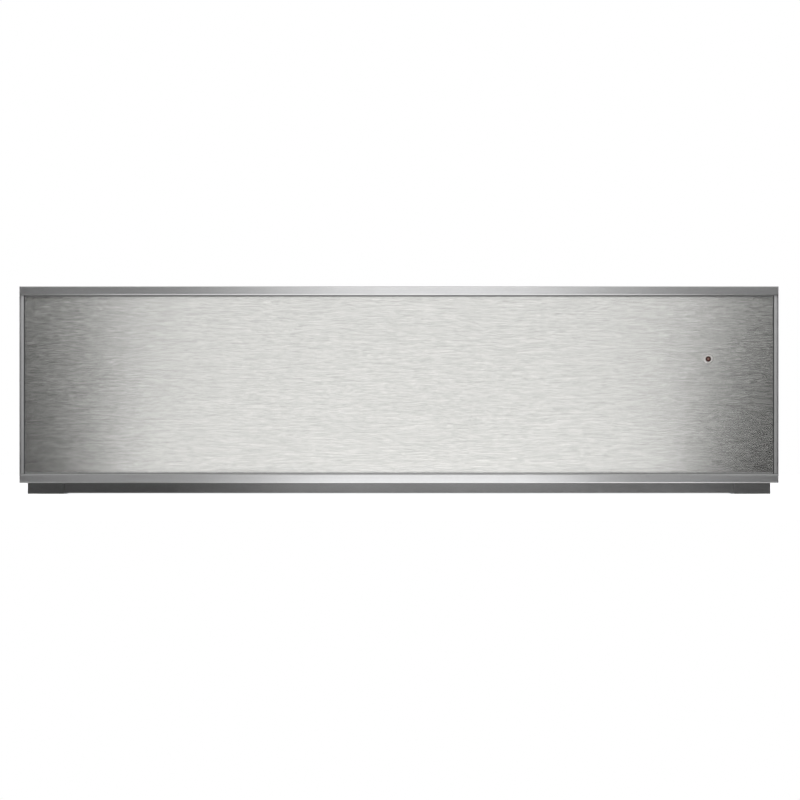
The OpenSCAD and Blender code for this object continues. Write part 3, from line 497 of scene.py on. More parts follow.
def round_edges(piece, width, test, segments=4):
    """Rounds those edges of a piece whose two ends pass a test."""
    select(piece, "EDGE", lambda edge: test(*edge_ends(piece, edge)))
    bpy.ops.mesh.bevel(offset=width, segments=segments, affect="EDGES")
    leave_edit()
    return piece


def along_line(axis, first, second):
    """The test for edges along an axis (0, 1, 2) that run through two places of the others."""
    others = [index for index in range(3) if index != axis]

    def test(a, b):
        return all(abs(end[index] - place) < EPS
                   for end in (a, b) for index, place in zip(others, (first, second)))

    return test


def cut(piece, axis, place):
    """Cuts a piece's faces along the plane across an axis."""
    select(piece, "FACE", every)
    bpy.ops.mesh.bisect(plane_co=axis * place, plane_no=axis)
    leave_edit()


def press(piece, axes, low, high, slope, push):
    """Presses a rectangular field of a sheet out by a push, with a slope along its border."""
    for axis, start, end in zip(axes, low, high):
        for place in (start, start + slope, end - slope, end):
            cut(piece, axis, place)

    def in_field(vertex):
        return all(start + slope - EPS < vertex.co.dot(axis) < end - slope + EPS
                   for axis, start, end in zip(axes, low, high))

    select(piece, "VERT", in_field)
    bpy.ops.transform.translate(value=push)
    leave_edit()
    return piece


def block(name, low, high):
    """A box between two corners."""
    low, high = Vector(low), Vector(high)
    bpy.ops.mesh.primitive_cube_add(size=1, location=(low + high) / 2)
    piece = bpy.context.object
    piece.name = name
    piece.scale = high - low
    return settle(piece)


def stood(place, axis=Z):
    """The matrix that stands a piece, made upright at the origin, on a place along an axis."""
    return Matrix.Translation(place) @ Z.rotation_difference(Vector(axis)).to_matrix().to_4x4()


def turned(name, place, axis, outline, sides=48, closed=False):
    """A turned piece, stood on a place along an axis. Its outline is (radius, height) pairs, and
    a closed outline makes a ring."""
    (radius, height), *rest = outline + outline[:1] if closed else outline
    bpy.ops.mesh.primitive_circle_add(vertices=sides, radius=radius, location=(0, 0, height),
                                      fill_type="NOTHING" if closed else "NGON")
    piece = bpy.context.object
    piece.name = name
    settle(piece)
    select(piece, "VERT", every)
    for next_radius, next_height in rest:
        bpy.ops.mesh.extrude_region_move(
            TRANSFORM_OT_translate={"value": (0, 0, next_height - height)})
        share = next_radius / radius
        bpy.ops.transform.resize(value=(share, share, 1), center_override=(0, 0, next_height))
        radius, height = next_radius, next_height
    leave_edit()
    piece.matrix_world = stood(place, axis)
    settle(piece)
    return smooth(outwards(piece))


def cut_away(piece, cutter):
    """Takes a cutter's shape out of a piece."""
    apply_modifier(piece, "BOOLEAN", operation="DIFFERENCE", object=cutter, solver="EXACT")
    bpy.data.objects.remove(cutter)
    return piece


def joined(name, pieces):
    """Several pieces made one."""
    only(pieces[0])
    for piece in pieces:
        piece.select_set(True)
    bpy.ops.object.join()
    pieces[0].name = name
    return pieces[0]


def copies(piece, matrices):
    """A piece copied to each matrix, all of them joined."""
    made = []
    for matrix in matrices:
        twin = piece.copy()
        twin.data = piece.data.copy()
        bpy.context.scene.collection.objects.link(twin)
        twin.matrix_world = matrix
        made.append(settle(twin))
    name = piece.name
    bpy.data.objects.remove(piece)
    return joined(name, made)


def finish(piece, node, name=None, slot=None):
    """Gives a piece its finish and lets it move with a node's body. A piece with no name of its
    own stands for the node."""
    slot = slot or SLOT[node]
    piece.name = name or node + "_made"
    piece.data.materials.clear()
    piece.data.materials.append(MATERIALS[slot])
    for face in piece.data.polygons:
        face.material_index = 0
    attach(piece, BODY[node])
    if not name:
        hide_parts(node)
    return piece


def bare_copy(node, whole=True):
    """A copy of a node's mesh, merged, with its flat faces whole again if wanted."""
    piece = frame["nodes"][node].copy()
    piece.data = piece.data.copy()
    for key in list(piece.keys()):
        del piece[key]
    piece.parent = None
    bpy.context.scene.collection.objects.link(piece)
    piece.hide_render = False
    piece.hide_viewport = False
    piece.name = node + "_made"
    select(piece, "FACE", every)
    bpy.ops.mesh.remove_doubles(threshold=1e-6)
    if whole:
        bpy.ops.mesh.dissolve_limited(angle_limit=math.radians(0.5))
    leave_edit()
    return piece


def dressed(node, bevel, segments=2):
    """A node with its sharp edges softened."""
    return finish(soften(bare_copy(node), bevel, segments), node)


def solids(node):
    """The boxes of a node's separate solids, as (low, high) pairs."""
    piece = bare_copy(node)
    select(piece, "FACE", every)
    bpy.ops.mesh.separate(type="LOOSE")
    leave_edit()
    boxes = []
    for part in list(bpy.context.selected_objects):
        places = [vertex.co for vertex in part.data.vertices]
        boxes.append((Vector([min(place[i] for place in places) for i in range(3)]),
                      Vector([max(place[i] for place in places) for i in range(3)])))
        bpy.data.objects.remove(part)
    return boxes


# ---------- Studio ----------

AMBIENT = 0.45                # what the white surround lights with; where it is seen it is 1
FLOOR_LIFT = 0.62             # light added to what is seen of the floor
LIT = (0, 0, 0.1)             # the lamps point here
LAMPS = (                     # name, place, width and height, power
    ("key", (-1.8, -2.2, 2.6), (1.6, 1.2), 55),
    ("fill", (2.4, -1.6, 1.6), (1.4, 1.2), 26),
    ("back", (0.6, 2.6, 2.2), (1.8, 1.0), 30),
)
CARD_T = 0.001                # thickness of an upright card
ON_FLOOR = (0.0004, 0.0008)   # bottom and top of a card that lies on the floor

# Flags: where they start and end to close, left and right of the middle, and where they open again
PANEL_FADE = {"left": (0.235, 0.400), "right": (0.260, 0.385), "outer": (1.05, 1.35), "slant": 0.2}
RAIL_OUTER = (0.24, 0.36)
# For the strips by the rails and plinth, also how dark they get, and what share their ends keep
TOP_FADE = {"left": (0.01, 0.26, 0.36), "right": (0.08, 0.33, 0.32), "ends": 1.0}
LOW_FADE = {"left": (0.04, 0.25, 0.34), "right": (0.11, 0.26, 0.30), "ends": 0.6}
PLINTH_FADE = {"left": (0.06, 0.28, 0.42), "right": (0.26, 0.40, 0.35), "ends": 1.0}


def add_camera():
    bpy.ops.object.camera_add(location=(CAMERA_X, front_y - CAMERA_AWAY, CAMERA_Z),
                              rotation=(math.pi / 2, 0, 0))
    camera = bpy.context.object
    camera.data.lens = LENS
    camera.data.sensor_width = SENSOR
    camera.data.clip_end = 60
    bpy.context.scene.camera = camera


def seen_rays(paint):
    """1 for rays from the camera and for those that gloss or glass sends on, else 0."""
    camera, gloss, glass = [paint.node("LightPath", out="Is %s Ray" % kind)
                            for kind in ("Camera", "Glossy", "Transmission")]
    return paint.maths("MINIMUM", camera + gloss + glass, 1.0)


def light_world(ambient):
    """A white surround that lights the object at a plain level."""
    world = bpy.data.worlds.new("surround")
    bpy.context.scene.world = world
    paint = Paint(world)
    strength = seen_rays(paint) * (1 - ambient) + ambient
    paint.node("OutputWorld", {}, Surface=paint.node(
        "Background", {}, Color=rgb(1.0), Strength=strength))


def lay_floor(lift):
    """A pale floor that keeps shadows; lift is the light added to what is seen of it."""
    bpy.ops.mesh.primitive_plane_add(size=6, location=(0, 0, -0.0004))
    floor = bpy.context.object
    floor.name = "floor"
    material, paint = painted("pale_floor")
    matt = paint.node("BsdfDiffuse", {}, Color=rgb(0.82))
    glow = paint.node("Emission", {}, Color=rgb(1.0), Strength=seen_rays(paint) * lift)
    paint.surface(paint.node("AddShader", {}, matt, glow))
    floor.data.materials.append(material)


def add_lamp(name, place, size, power):
    """A soft lamp that no reflection shows."""
    bpy.ops.object.light_add(type="AREA", location=place)
    lamp = bpy.context.object
    lamp.name = name
    lamp.data.shape = "RECTANGLE"
    lamp.data.size, lamp.data.size_y = size
    lamp.data.energy = power
    lamp.rotation_euler = (Vector(LIT) - Vector(place)).to_track_quat("-Z", "Y").to_euler()
    lamp.visible_glossy = False
    lamp.visible_camera = False


def light_card(name, low, high, material):
    """A card between two corners that shows in reflections and does nothing else."""
    card = block(name, low, high)
    card.data.materials.append(material)
    for ray in ("camera", "diffuse", "transmission", "shadow", "volume_scatter"):
        setattr(card, "visible_" + ray, False)


def veil(paint, cover, strength):
    """Clear where the cover is 0, and a white light of this strength where it is 1."""
    paint.surface(paint.node("MixShader", {}, cover, paint.node("BsdfTransparent"),
                             paint.node("Emission", {}, Color=rgb(1.0), Strength=strength)))


def flag_paint(darkest, fade):
    """Black card that thins out towards the middle of the front. Seen from the camera in the
    front as in a mirror, a card point lies over the front point u = x / (1 + away / camera)."""
    material, paint = painted("flag")
    x, y, z = paint.along("X"), paint.along("Y"), paint.along("Z")
    away = front_y - y
    nearness = 1 / (away / CAMERA_AWAY + 1)
    u = x * nearness
    height = (z - CAMERA_Z) * nearness
    left = smoothstep(0 - u, *fade["left"])
    right = smoothstep(u - height * fade["slant"], *fade["right"])
    outer = smoothstep(paint.maths("ABSOLUTE", x), *fade["outer"])
    veil(paint, (left + right) * darkest * (1 - outer), 0.0)
    return material


def rail_flag_paint(fade):
    """Black card that is clear in the middle. Left and right of it, it closes from one place to
    another up to a darkness, and towards its ends it opens again to a share of that."""
    material, paint = painted("rail_flag")
    x = paint.along("X")
    left_start, left_end, left_dark = fade["left"]
    right_start, right_end, right_dark = fade["right"]
    sides = (smoothstep(0 - x, left_start, left_end) * left_dark
             + smoothstep(x, right_start, right_end) * right_dark)
    outer = smoothstep(paint.maths("ABSOLUTE", x), *RAIL_OUTER)
    veil(paint, sides * (1 - outer * (1 - fade["ends"])), 0.0)
    return material


def add_flags():
    """A flag before the camera, and its like on the floor, give the panel its dark ends. Strips
    close before the rails, and one on the floor under the front, give rails and plinth theirs."""
    away, high, stop, half, tall, deep = 1.5, 0.38, 0.03, 0.5, 0.03, 0.06
    far = front_y - away
    light_card("flag_panel", (-away, far, CARD_T), (away, far + CARD_T, high),
               flag_paint(0.99, PANEL_FADE))
    light_card("flag_ground", (-away, far, ON_FLOOR[0]), (away, front_y - stop, ON_FLOOR[1]),
               flag_paint(0.8, PANEL_FADE))
    near = front_y - 6 * MM
    glass_low, glass_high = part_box("glass_pane")
    light_card("flag_top", (-half, near - CARD_T, glass_high.z), (half, near, glass_high.z + tall),
               rail_flag_paint(TOP_FADE))
    light_card("flag_low", (-half, near - CARD_T, CARD_T), (half, near, glass_low.z),
               rail_flag_paint(LOW_FADE))
    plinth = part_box("front_strip")[0].y
    light_card("flag_plinth", (-half, plinth - deep, ON_FLOOR[0]),
               (half, plinth - CARD_T, ON_FLOOR[1]), rail_flag_paint(PLINTH_FADE))


def add_glow(name, low, high, strength):
    """A small soft card that brightens the middle of the rails, and fades towards its ends."""
    material, paint = painted(name)
    half = (high[0] - low[0]) / 2
    across = paint.along("X") - (low[0] + high[0]) / 2
    veil(paint, 1 - smoothstep(paint.maths("ABSOLUTE", across), 0.3 * half, half), strength)
    light_card(name, low, high, material)


def add_card(name, low, high, level):
    """A plain card of a grey level."""
    material, paint = painted(name)
    paint.surface(paint.node("Emission", {}, Color=rgb(1.0), Strength=level))
    light_card(name, low, high, material)


def add_cards():
    """Dim cards beside the front for the panel's ends and the stiles' roundings, a grey one over
    it, and two glows for the middle of the rails."""
    for side in (-1, 1):
        near, far = sorted((side * 0.60, side * 0.61))
        add_card("card_side", (near, front_y - 1.1, 0), (far, front_y - 0.45, 0.5), 0.12)
        near, far = sorted((side * (front_half + 0.020), side * (front_half + 0.021)))
        add_card("card_edge", (near, front_y - 0.08, 0), (far, front_y - 0.002, 0.21), 0.0)
    add_card("card_over", (-1, front_y - 1.2, 1.3), (1, front_y - 0.1, 1.31), 0.4)
    add_glow("glow_over", (-0.19, front_y - 0.36, 0.36), (0.23, front_y - 0.34, 0.44), 3.0)
    add_glow("glow_under", (-0.18, front_y - 0.24, 0.0010), (0.24, front_y - 0.02, 0.0014), 1.6)


def set_studio():
    bpy.context.scene.view_settings.view_transform = "Standard"
    add_camera()
    light_world(AMBIENT)
    lay_floor(FLOOR_LIFT)
    for lamp in LAMPS:
        add_lamp(*lamp)
    add_flags()
    add_cards()


# ---------- Front ----------

OUTER_ROUND, EASED = 1.3 * MM, 0.15 * MM   # the frame's outer front edge, and its other edges


def frame_rail(node, outer_z):
    """An aluminium rail: its outer front edge is rounded, its other edges eased."""
    piece = bare_copy(node)

    def outer(a, b):
        at_front = max(a.y, b.y) < front_y + EPS
        at_edge = abs(a.z - outer_z) < EPS and abs(b.z - outer_z) < EPS
        return at_front and (at_edge or min(abs(a.x), abs(b.x)) > front_half - EPS)

    round_edges(piece, OUTER_ROUND, outer)
    finish(soften(piece, EASED), node)


def frame_stile(node):
    """An aluminium stile, rounded and eased like the rails."""
    piece = bare_copy(node)
    round_edges(piece, OUTER_ROUND, lambda a, b: max(a.y, b.y) < front_y + EPS
                and min(abs(a.x), abs(b.x)) > front_half - EPS)
    finish(soften(piece, EASED), node)


def flat_pane(node, bevel, behind=0.0):
    """A pane whose faces mirror without a bend, for they keep their own normals. Its back can
    stay a little off what lies behind, so that no two faces share one place."""
    piece = bare_copy(node)
    bpy.ops.mesh.customdata_custom_splitnormals_clear()
    if behind:
        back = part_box(node)[1].y
        select(piece, "VERT", lambda vertex: vertex.co.y > back - EPS)
        bpy.ops.transform.translate(value=(0, -behind, 0))
        leave_edit()
    apply_modifier(piece, "BEVEL", width=bevel, segments=2, limit_method="ANGLE",
                   angle_limit=SHARP)
    bpy.ops.object.shade_flat()
    finish(piece, node)


def make_front():
    frame_rail("top_frame_rail", front_top)
    frame_rail("bottom_frame_rail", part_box("bottom_frame_rail")[0].z)
    for side in ("left", "right"):
        frame_stile(side + "_frame_stile")
    flat_pane("glass_pane", 0.3 * MM, 0.1 * MM)
    flat_pane("brushed_backing", 0.1 * MM)
    dressed("glass_seal", 0.1 * MM)
    dressed("indicator_bezel", 0.3 * MM, 3)
    dressed("indicator_lens", 0.2 * MM, 3)
    wool_slab("front_insulation")
    make_inner_cover()


def make_inner_cover():
    """The cover behind the front: its outer edges at the back are folded round."""
    cover = bare_copy("inner_front_cover")
    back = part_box("inner_front_cover")[1].y
    rim, ends, long_edge = front_half - 3 * MM, front_half - 60 * MM, 0.5

    def folded(a, b):
        upright = max(abs(a.x), abs(b.x)) > rim and abs(a.x - b.x) < EPS
        level = min(abs(a.x), abs(b.x)) > ends and abs(a.x - b.x) > long_edge
        return min(a.y, b.y) > back - EPS and (upright or level)

    round_edges(cover, 0.9 * MM, folded)
    finish(soften(cover, 0.2 * MM), "inner_front_cover")


# ---------- Soft slabs ----------

def wool_slab(node):
    """A slab of mineral wool, with the lumps of its fibres. It stays inside its solid."""
    loft, grain, lump = 1.6 * MM, 4 * MM, 9 * MM
    piece = bare_copy(node)
    apply_modifier(piece, "REMESH", mode="VOXEL", voxel_size=grain)
    lumps = bpy.data.textures.new(node + "_lumps", "CLOUDS")
    lumps.noise_scale = lump
    apply_modifier(piece, "DISPLACE", texture=lumps, strength=loft, mid_level=1.0)
    return finish(smooth(piece, math.pi), node)


def make_mat():
    """The anti-slip mat: a thin sheet with round corners, covered with low studs."""
    low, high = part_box("anti_slip_mat")
    sheet_t, corner, pitch, stud_r, skirt = 1.2 * MM, 12 * MM, 9 * MM, 2.6 * MM, 7 * MM
    sheet = block("mat_sheet", low, (high.x, high.y, low.z + sheet_t))
    round_edges(sheet, corner, lambda a, b: abs(a.z - b.z) > EPS, 6)
    soften(sheet, 0.3 * MM)
    wide, deep = high.x - low.x - 2 * skirt, high.y - low.y - 2 * skirt
    across, along = int(wide / pitch), int(deep / pitch)
    stud_h = high.z - low.z - sheet_t
    start = Vector(((low.x + high.x - across * pitch) / 2, (low.y + high.y - along * pitch) / 2,
                    low.z + sheet_t))
    stud = turned("mat_stud", start, Z, [
        (stud_r, -0.2 * MM), (stud_r, 0.2 * stud_h), (0.8 * stud_r, 0.75 * stud_h),
        (0.4 * stud_r, stud_h)], 8)
    for count, way in ((across + 1, (pitch, 0, 0)), (along + 1, (0, pitch, 0))):
        apply_modifier(stud, "ARRAY", count=count, use_relative_offset=False,
                       use_constant_offset=True, constant_offset_displace=way)
    finish(joined("mat", [sheet, stud]), "anti_slip_mat")


# ---------- Fasteners ----------

SCREW_HEAD_R, SCREW_HEAD_H, SCREW_L = 3 * MM, 1.6 * MM, 4 * MM


def pan_screw():
    """A pan-head screw standing on z = 0, its shank below, with a cross recess."""
    r, h = SCREW_HEAD_R, SCREW_HEAD_H
    screw = turned("screw", (0, 0, 0), Z, [
        (0.9 * MM, -SCREW_L), (1.25 * MM, -SCREW_L + 0.5 * MM), (1.25 * MM, 0), (r, 0),
        (r, 0.3 * h), (0.93 * r, 0.6 * h), (0.76 * r, 0.85 * h), (0.5 * r, 0.97 * h),
        (0.2 * r, h)], 24)
    for half_x, half_y in ((0.55 * r, 0.13 * r), (0.13 * r, 0.55 * r)):
        cut_away(screw, block("recess", (-half_x, -half_y, 0.45 * h), (half_x, half_y, 2 * h)))
    return smooth(screw)


def make_screws():
    """Screws in the casing, heads outwards, and in the drawer, heads towards the back."""
    sides = []
    for low, high in solids("casing_screws"):
        middle = (low + high) / 2
        side = 1 if middle.x > 0 else -1
        outer_x = high.x if side > 0 else low.x
        seat = Vector((outer_x - side * SCREW_HEAD_H, middle.y, middle.z))
        sides.append(stood(seat, X * side))
    finish(copies(pan_screw(), sides), "casing_screws")
    backs = []
    for low, high in solids("drawer_screws"):
        middle = (low + high) / 2
        backs.append(stood((middle.x, high.y - SCREW_HEAD_H, middle.z), Y))
    finish(copies(pan_screw(), backs), "drawer_screws")


# ---------- Casing ----------

CASING_T = 0.8 * MM
# Fields pressed into the sheets, from one place to another
WALL_FIELDS = ((0.030, 0.062), (0.142, 0.174))        # up each side wall
COVER_FIELD = (0.06, 0.315)                           # from the cover's middle to each side
REAR_FIELDS = ((-0.325, -0.165), (0.215, 0.325))      # across the rear wall
REAR_FIELD_UP = (0.080, 0.178)


def make_casing():
    casing_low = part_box("left_side_wall")[0]
    casing_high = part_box("right_side_wall")[1]
    front, back, half = casing_low.y, casing_high.y, casing_high.x
    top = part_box("top_cover")[1].z
    for side in (-1, 1):
        node = "left_side_wall" if side < 0 else "right_side_wall"
        wall = bare_copy(node)
        round_edges(wall, 0.7 * MM, along_line(1, side * half, 0))
        for low_z, high_z in WALL_FIELDS:
            press(wall, (Y, Z), (front + 0.062, low_z), (back - 0.032, high_z), 2.5 * MM,
                  X * side * 1.1 * MM)
        finish(soften(wall, 0.2 * MM), node)
    cover = bare_copy("top_cover")
    round_edges(cover, 0.7 * MM, along_line(0, front, top))
    for side in (-1, 1):
        ends = sorted(side * place for place in COVER_FIELD)
        press(cover, (X, Y), (ends[0], front + 0.060), (ends[1], back - 0.045), 3 * MM,
              Z * -0.7 * MM)
    finish(soften(cover, 0.2 * MM), "top_cover")
    rear = bare_copy("rear_wall")
    low_z, high_z = REAR_FIELD_UP
    for low_x, high_x in REAR_FIELDS:
        press(rear, (X, Z), (low_x, low_z), (high_x, high_z), 2.5 * MM, Y * 0.7 * MM)
    finish(soften(rear, 0.2 * MM), "rear_wall")
    dressed("base_tray", 0.2 * MM)
    for node in ("front_strip", "left_mounting_angle", "right_mounting_angle"):
        dressed(node, 0.3 * MM)
    for side in ("left", "right"):
        dressed(side + "_slide_bracket", 0.3 * MM)


# ---------- Telescopic slides ----------

RAIL_GAUGE = 1.2 * MM


def rolled_rail(node, web_outside):
    """A rail rolled from sheet: the two bends along it are round, outside and inside."""
    piece = bare_copy(node)
    low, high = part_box(node)
    on_right = low.x > 0
    web_x = high.x if on_right == web_outside else low.x
    inward = RAIL_GAUGE if web_x == low.x else -RAIL_GAUGE
    for z, up in ((low.z, RAIL_GAUGE), (high.z, -RAIL_GAUGE)):
        round_edges(piece, 1.1 * MM, along_line(1, web_x, z))
        round_edges(piece, 0.4 * MM, along_line(1, web_x + inward, z + up), 3)
    finish(soften(piece, 0.12 * MM), node)


def make_slides():
    """On each side three rails, one in the other, and the two cages with their balls between."""
    for side in ("left_", "right_"):
        rolled_rail(side + "cabinet_rail", True)
        rolled_rail(side + "middle_rail", True)
        rolled_rail(side + "drawer_rail", False)
        for node in (side + "outer_cage", side + "inner_cage"):
            finish(smooth(bare_copy(node), math.radians(50)), node)


# ---------- Push latch ----------

def make_latch():
    low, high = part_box("push_latch_housing")
    housing = bare_copy("push_latch_housing")
    long_edge = 20 * MM

    def outer_corner(a, b):
        along = abs(a.y - b.y) > long_edge and abs(a.x - b.x) < EPS and abs(a.z - b.z) < EPS
        return along and min(abs(a.x - low.x), abs(a.x - high.x)) < EPS

    round_edges(housing, 3 * MM, outer_corner)
    finish(soften(housing, 0.5 * MM, 3), "push_latch_housing")
    plunger = bare_copy("latch_plunger")
    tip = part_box("latch_plunger")[0].y
    round_edges(plunger, 1.5 * MM, lambda a, b: max(a.y, b.y) < tip + EPS)
    finish(soften(plunger, 0.3 * MM), "latch_plunger")
    dressed("strike_pad", 1.2 * MM, 4)
    make_spring()


def make_spring():
    """A compression spring, coiled from wire."""
    low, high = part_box("latch_spring")
    wire_r, turns = 0.55 * MM, 7
    coil_r = (high.x - low.x) / 2 - wire_r
    length = high.y - low.y
    bpy.ops.mesh.primitive_circle_add(vertices=8, radius=wire_r, location=(coil_r, 0, wire_r),
                                      rotation=(math.pi / 2, 0, 0), fill_type="NOTHING")
    spring = settle(bpy.context.object)
    pitch = (length - 2 * wire_r) / turns
    apply_modifier(spring, "SCREW", axis="Z", angle=2 * math.pi, screw_offset=pitch,
                   iterations=turns, steps=20, render_steps=20, use_merge_vertices=False)
    middle = (low + high) / 2
    spring.matrix_world = stood((middle.x, low.y, middle.z), Y)
    settle(spring)
    select(spring, "EDGE", every)
    bpy.ops.mesh.fill_holes(sides=0)
    leave_edit()
    finish(smooth(outwards(spring), math.radians(60)), "latch_spring")
    joints = {joint["name"]: joint for joint in frame["joints"]}
    travel = max(abs(end) for end in joints["latch_press"]["range_m"])
    1 - travel / length
    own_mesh(spring)


# ---------- Electrical supply ----------

def make_gland():
    """A cable gland: hexagon nut inside, flange and ribbed dome outside, with its bore."""
    low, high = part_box("cable_gland")
    wall_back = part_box("rear_wall")[1].y
    wall_front = wall_back - CASING_T
    x, z = (low.x + high.x) / 2, (low.z + high.z) / 2
    bore, thread, flange, nut_t, flange_t = 4 * MM, 8 * MM, 12 * MM, 5 * MM, 3 * MM
    end = high.y - low.y
    seat = wall_back - low.y
    rim = seat + flange_t
    body = turned("gland_body", (x, low.y, z), Y, [
        (bore, 0), (thread - 0.6 * MM, 0), (thread, 0.6 * MM), (thread, seat),
        (flange, seat), (flange, rim - 0.8 * MM), (flange - 0.8 * MM, rim), (thread - 0.2 * MM, rim),
        (thread - 0.2 * MM, end - 3 * MM), (thread - 1.2 * MM, end - 1 * MM),
        (thread - 2.4 * MM, end), (bore, end)], 48, True)
    nut = turned("gland_nut", (x, wall_front - nut_t, z), Y, [
        (thread - 0.1 * MM, 0), (flange - 0.7 * MM, 0), (flange, 0.7 * MM), (flange, nut_t),
        (thread - 0.1 * MM, nut_t)], 6, True)
    ribs, rib_count = [], 12
    for turn in range(rib_count):
        angle = turn * 2 * math.pi / rib_count
        rib = block("gland_rib", (thread - 0.6 * MM, -0.7 * MM, rim - 0.2 * MM),
                    (thread + 0.7 * MM, 0.7 * MM, end - 3 * MM))
        soften(rib, 0.3 * MM)
        rib.matrix_world = stood((x, low.y, z), Y) @ Matrix.Rotation(angle, 4, "Z")
        ribs.append(settle(rib))
    finish(joined("gland", [body, nut] + ribs), "cable_gland")


def make_terminals():
    """The terminal block, with a slotted clamp screw for each wire."""
    low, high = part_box("terminal_block")
    dressed("terminal_block", 0.6 * MM, 3)
    well_r, wells = 3.5 * MM, 3
    step = (high.x - low.x) / 3.5
    screws = []
    for way in range(wells):
        middle = (low + high) / 2
        screws.append(stood(middle + X * (way - 1) * step))
    screw = turned("clamp_screw", (0, 0, 0), Z, [
        (well_r * 0.8, -0.1 * MM), (well_r * 0.86, 1.2 * MM), (well_r * 0.7, 1.6 * MM)], 20)
    cut_away(screw, block("slot", (-well_r, -0.4 * MM, 0.9 * MM), (well_r, 0.4 * MM, 3 * MM)))
    finish(copies(screw, screws), "terminal_block", "terminal_clamps", "knob_metal")


def make_lead():
    """The flat lead between casing and drawer: upright panels joined by round folds."""
    low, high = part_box("flexible_lead")
    sheath_t, panels, fold_steps = 0.9 * MM, 14, 6
    pitch = (high.y - low.y - sheath_t) / (panels - 1)
    r = pitch / 2
    bottom, top = low.z + sheath_t / 2 + r, high.z - sheath_t / 2 - r
    route = []
    for panel in range(panels):
        y = low.y + sheath_t / 2 + panel * pitch
        up = panel % 2 == 0
        route += [(y, bottom if up else top), (y, top if up else bottom)]
        if panel == panels - 1:
            break
        for step in range(1, fold_steps):
            angle = math.pi * step / fold_steps
            lift = r * math.sin(angle) * (1 if up else -1)
            route.append((y + r - r * math.cos(angle), (top if up else bottom) + lift))
    lead = drawn_strip("flexible_lead_made", low.x, high.x, route)
    apply_modifier(lead, "SOLIDIFY", thickness=sheath_t, offset=0.0, use_even_offset=True)
    soften(outwards(lead), 0.25 * MM, 2, math.radians(60))
    lead.data.materials.clear()
    lead.data.materials.append(MATERIALS["ribbon_sheath"])
    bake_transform(lead)
    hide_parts("flexible_lead")


def drawn_strip(name, low_x, high_x, route):
    """A strip between two places along X: an upright panel, drawn out along a route of (y, z)
    places."""
    (y, z), (last_y, last_z), *rest = route
    bpy.ops.mesh.primitive_plane_add(size=1, rotation=(math.pi / 2, 0, 0),
                                     location=((low_x + high_x) / 2, y, (z + last_z) / 2))
    strip = bpy.context.object
    strip.name = name
    strip.scale = (high_x - low_x, abs(last_z - z), 1)
    settle(strip)
    select(strip, "EDGE", lambda edge: all(
        abs(end.z - last_z) < EPS for end in edge_ends(strip, edge)))
    for next_y, next_z in rest:
        bpy.ops.mesh.extrude_region_move(
            TRANSFORM_OT_translate={"value": (0, next_y - last_y, next_z - last_z)})
        last_y, last_z = next_y, next_z
    leave_edit()
    return strip


# ---------- Controls on the console ----------

KNOB_R = 14 * MM


def make_controls():
    console = bare_copy("control_console", whole=False)
    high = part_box("control_console")[1]
    round_edges(console, 0.9 * MM, along_line(0, high.y, high.z))
    finish(soften(console, 0.2 * MM), "control_console")
    dressed("temperature_selector", 0.5 * MM)
    dressed("power_switch", 0.4 * MM)
    dressed("temperature_knob", 0.35 * MM, 3)
    button = bare_copy("power_button")
    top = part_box("power_button")[1].z
    round_edges(button, 1.2 * MM, lambda a, b: min(a.z, b.z) > top - EPS, 5)
    finish(soften(button, 0.2 * MM), "power_button")
    make_pointer()
    make_dial()
    make_board()


def make_pointer():
    """A pale line laid into the knob's groove."""
    low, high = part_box("temperature_knob")
    x, y = (low.x + high.x) / 2, (low.y + high.y) / 2
    half_w, start, end = 0.5 * MM, 3 * MM, KNOB_R - 1.5 * MM
    line = block("pointer_line", (x - half_w, y + start, high.z - 0.6 * MM),
                 (x + half_w, y + end, high.z - 0.15 * MM))
    finish(soften(line, 0.1 * MM), "temperature_knob", "pointer_line", "white_plastic")


def make_dial():
    """Plain figures and ticks round the knob, from 0 at the back clockwise over its turn."""
    low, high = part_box("temperature_knob")
    x, y = (low.x + high.x) / 2, (low.y + high.y) / 2
    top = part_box("control_console")[1].z
    turn, figures = 240, 5
    ticks = 2 * figures - 1
    tick_w, tick_in, tick_out, short_by = 0.4 * MM, 1.4 * MM, 2.6 * MM, 0.5 * MM
    figures_out, figure_h = 4.1 * MM, 3.4 * MM
    sunk, proud = 0.1 * MM, 0.04 * MM
    marks = []
    for tick in range(ticks):
        angle = math.radians(-turn * tick / (ticks - 1))
        out = KNOB_R + tick_out - (short_by if tick % 2 else 0)
        mark = block("tick", (-tick_w / 2, KNOB_R + tick_in, -sunk), (tick_w / 2, out, proud))
        mark.matrix_world = stood((x, y, top)) @ Matrix.Rotation(angle, 4, "Z")
        marks.append(settle(mark))
    for figure in range(figures):
        angle = math.radians(-turn * figure / (figures - 1))
        out = KNOB_R + figures_out
        bpy.ops.object.text_add(location=(x - math.sin(angle) * out, y + math.cos(angle) * out,
                                          top - sunk))
        words = bpy.context.object
        words.data.body = str(figure)
        words.data.size = figure_h
        words.data.align_x = "CENTER"
        words.data.align_y = "CENTER"
        words.data.extrude = sunk + proud
        words.data.resolution_u = 3
        bpy.ops.object.convert(target="MESH")
        marks.append(settle(bpy.context.object))
    finish(joined("dial", marks), "control_console", "dial_marks", "black_plastic")


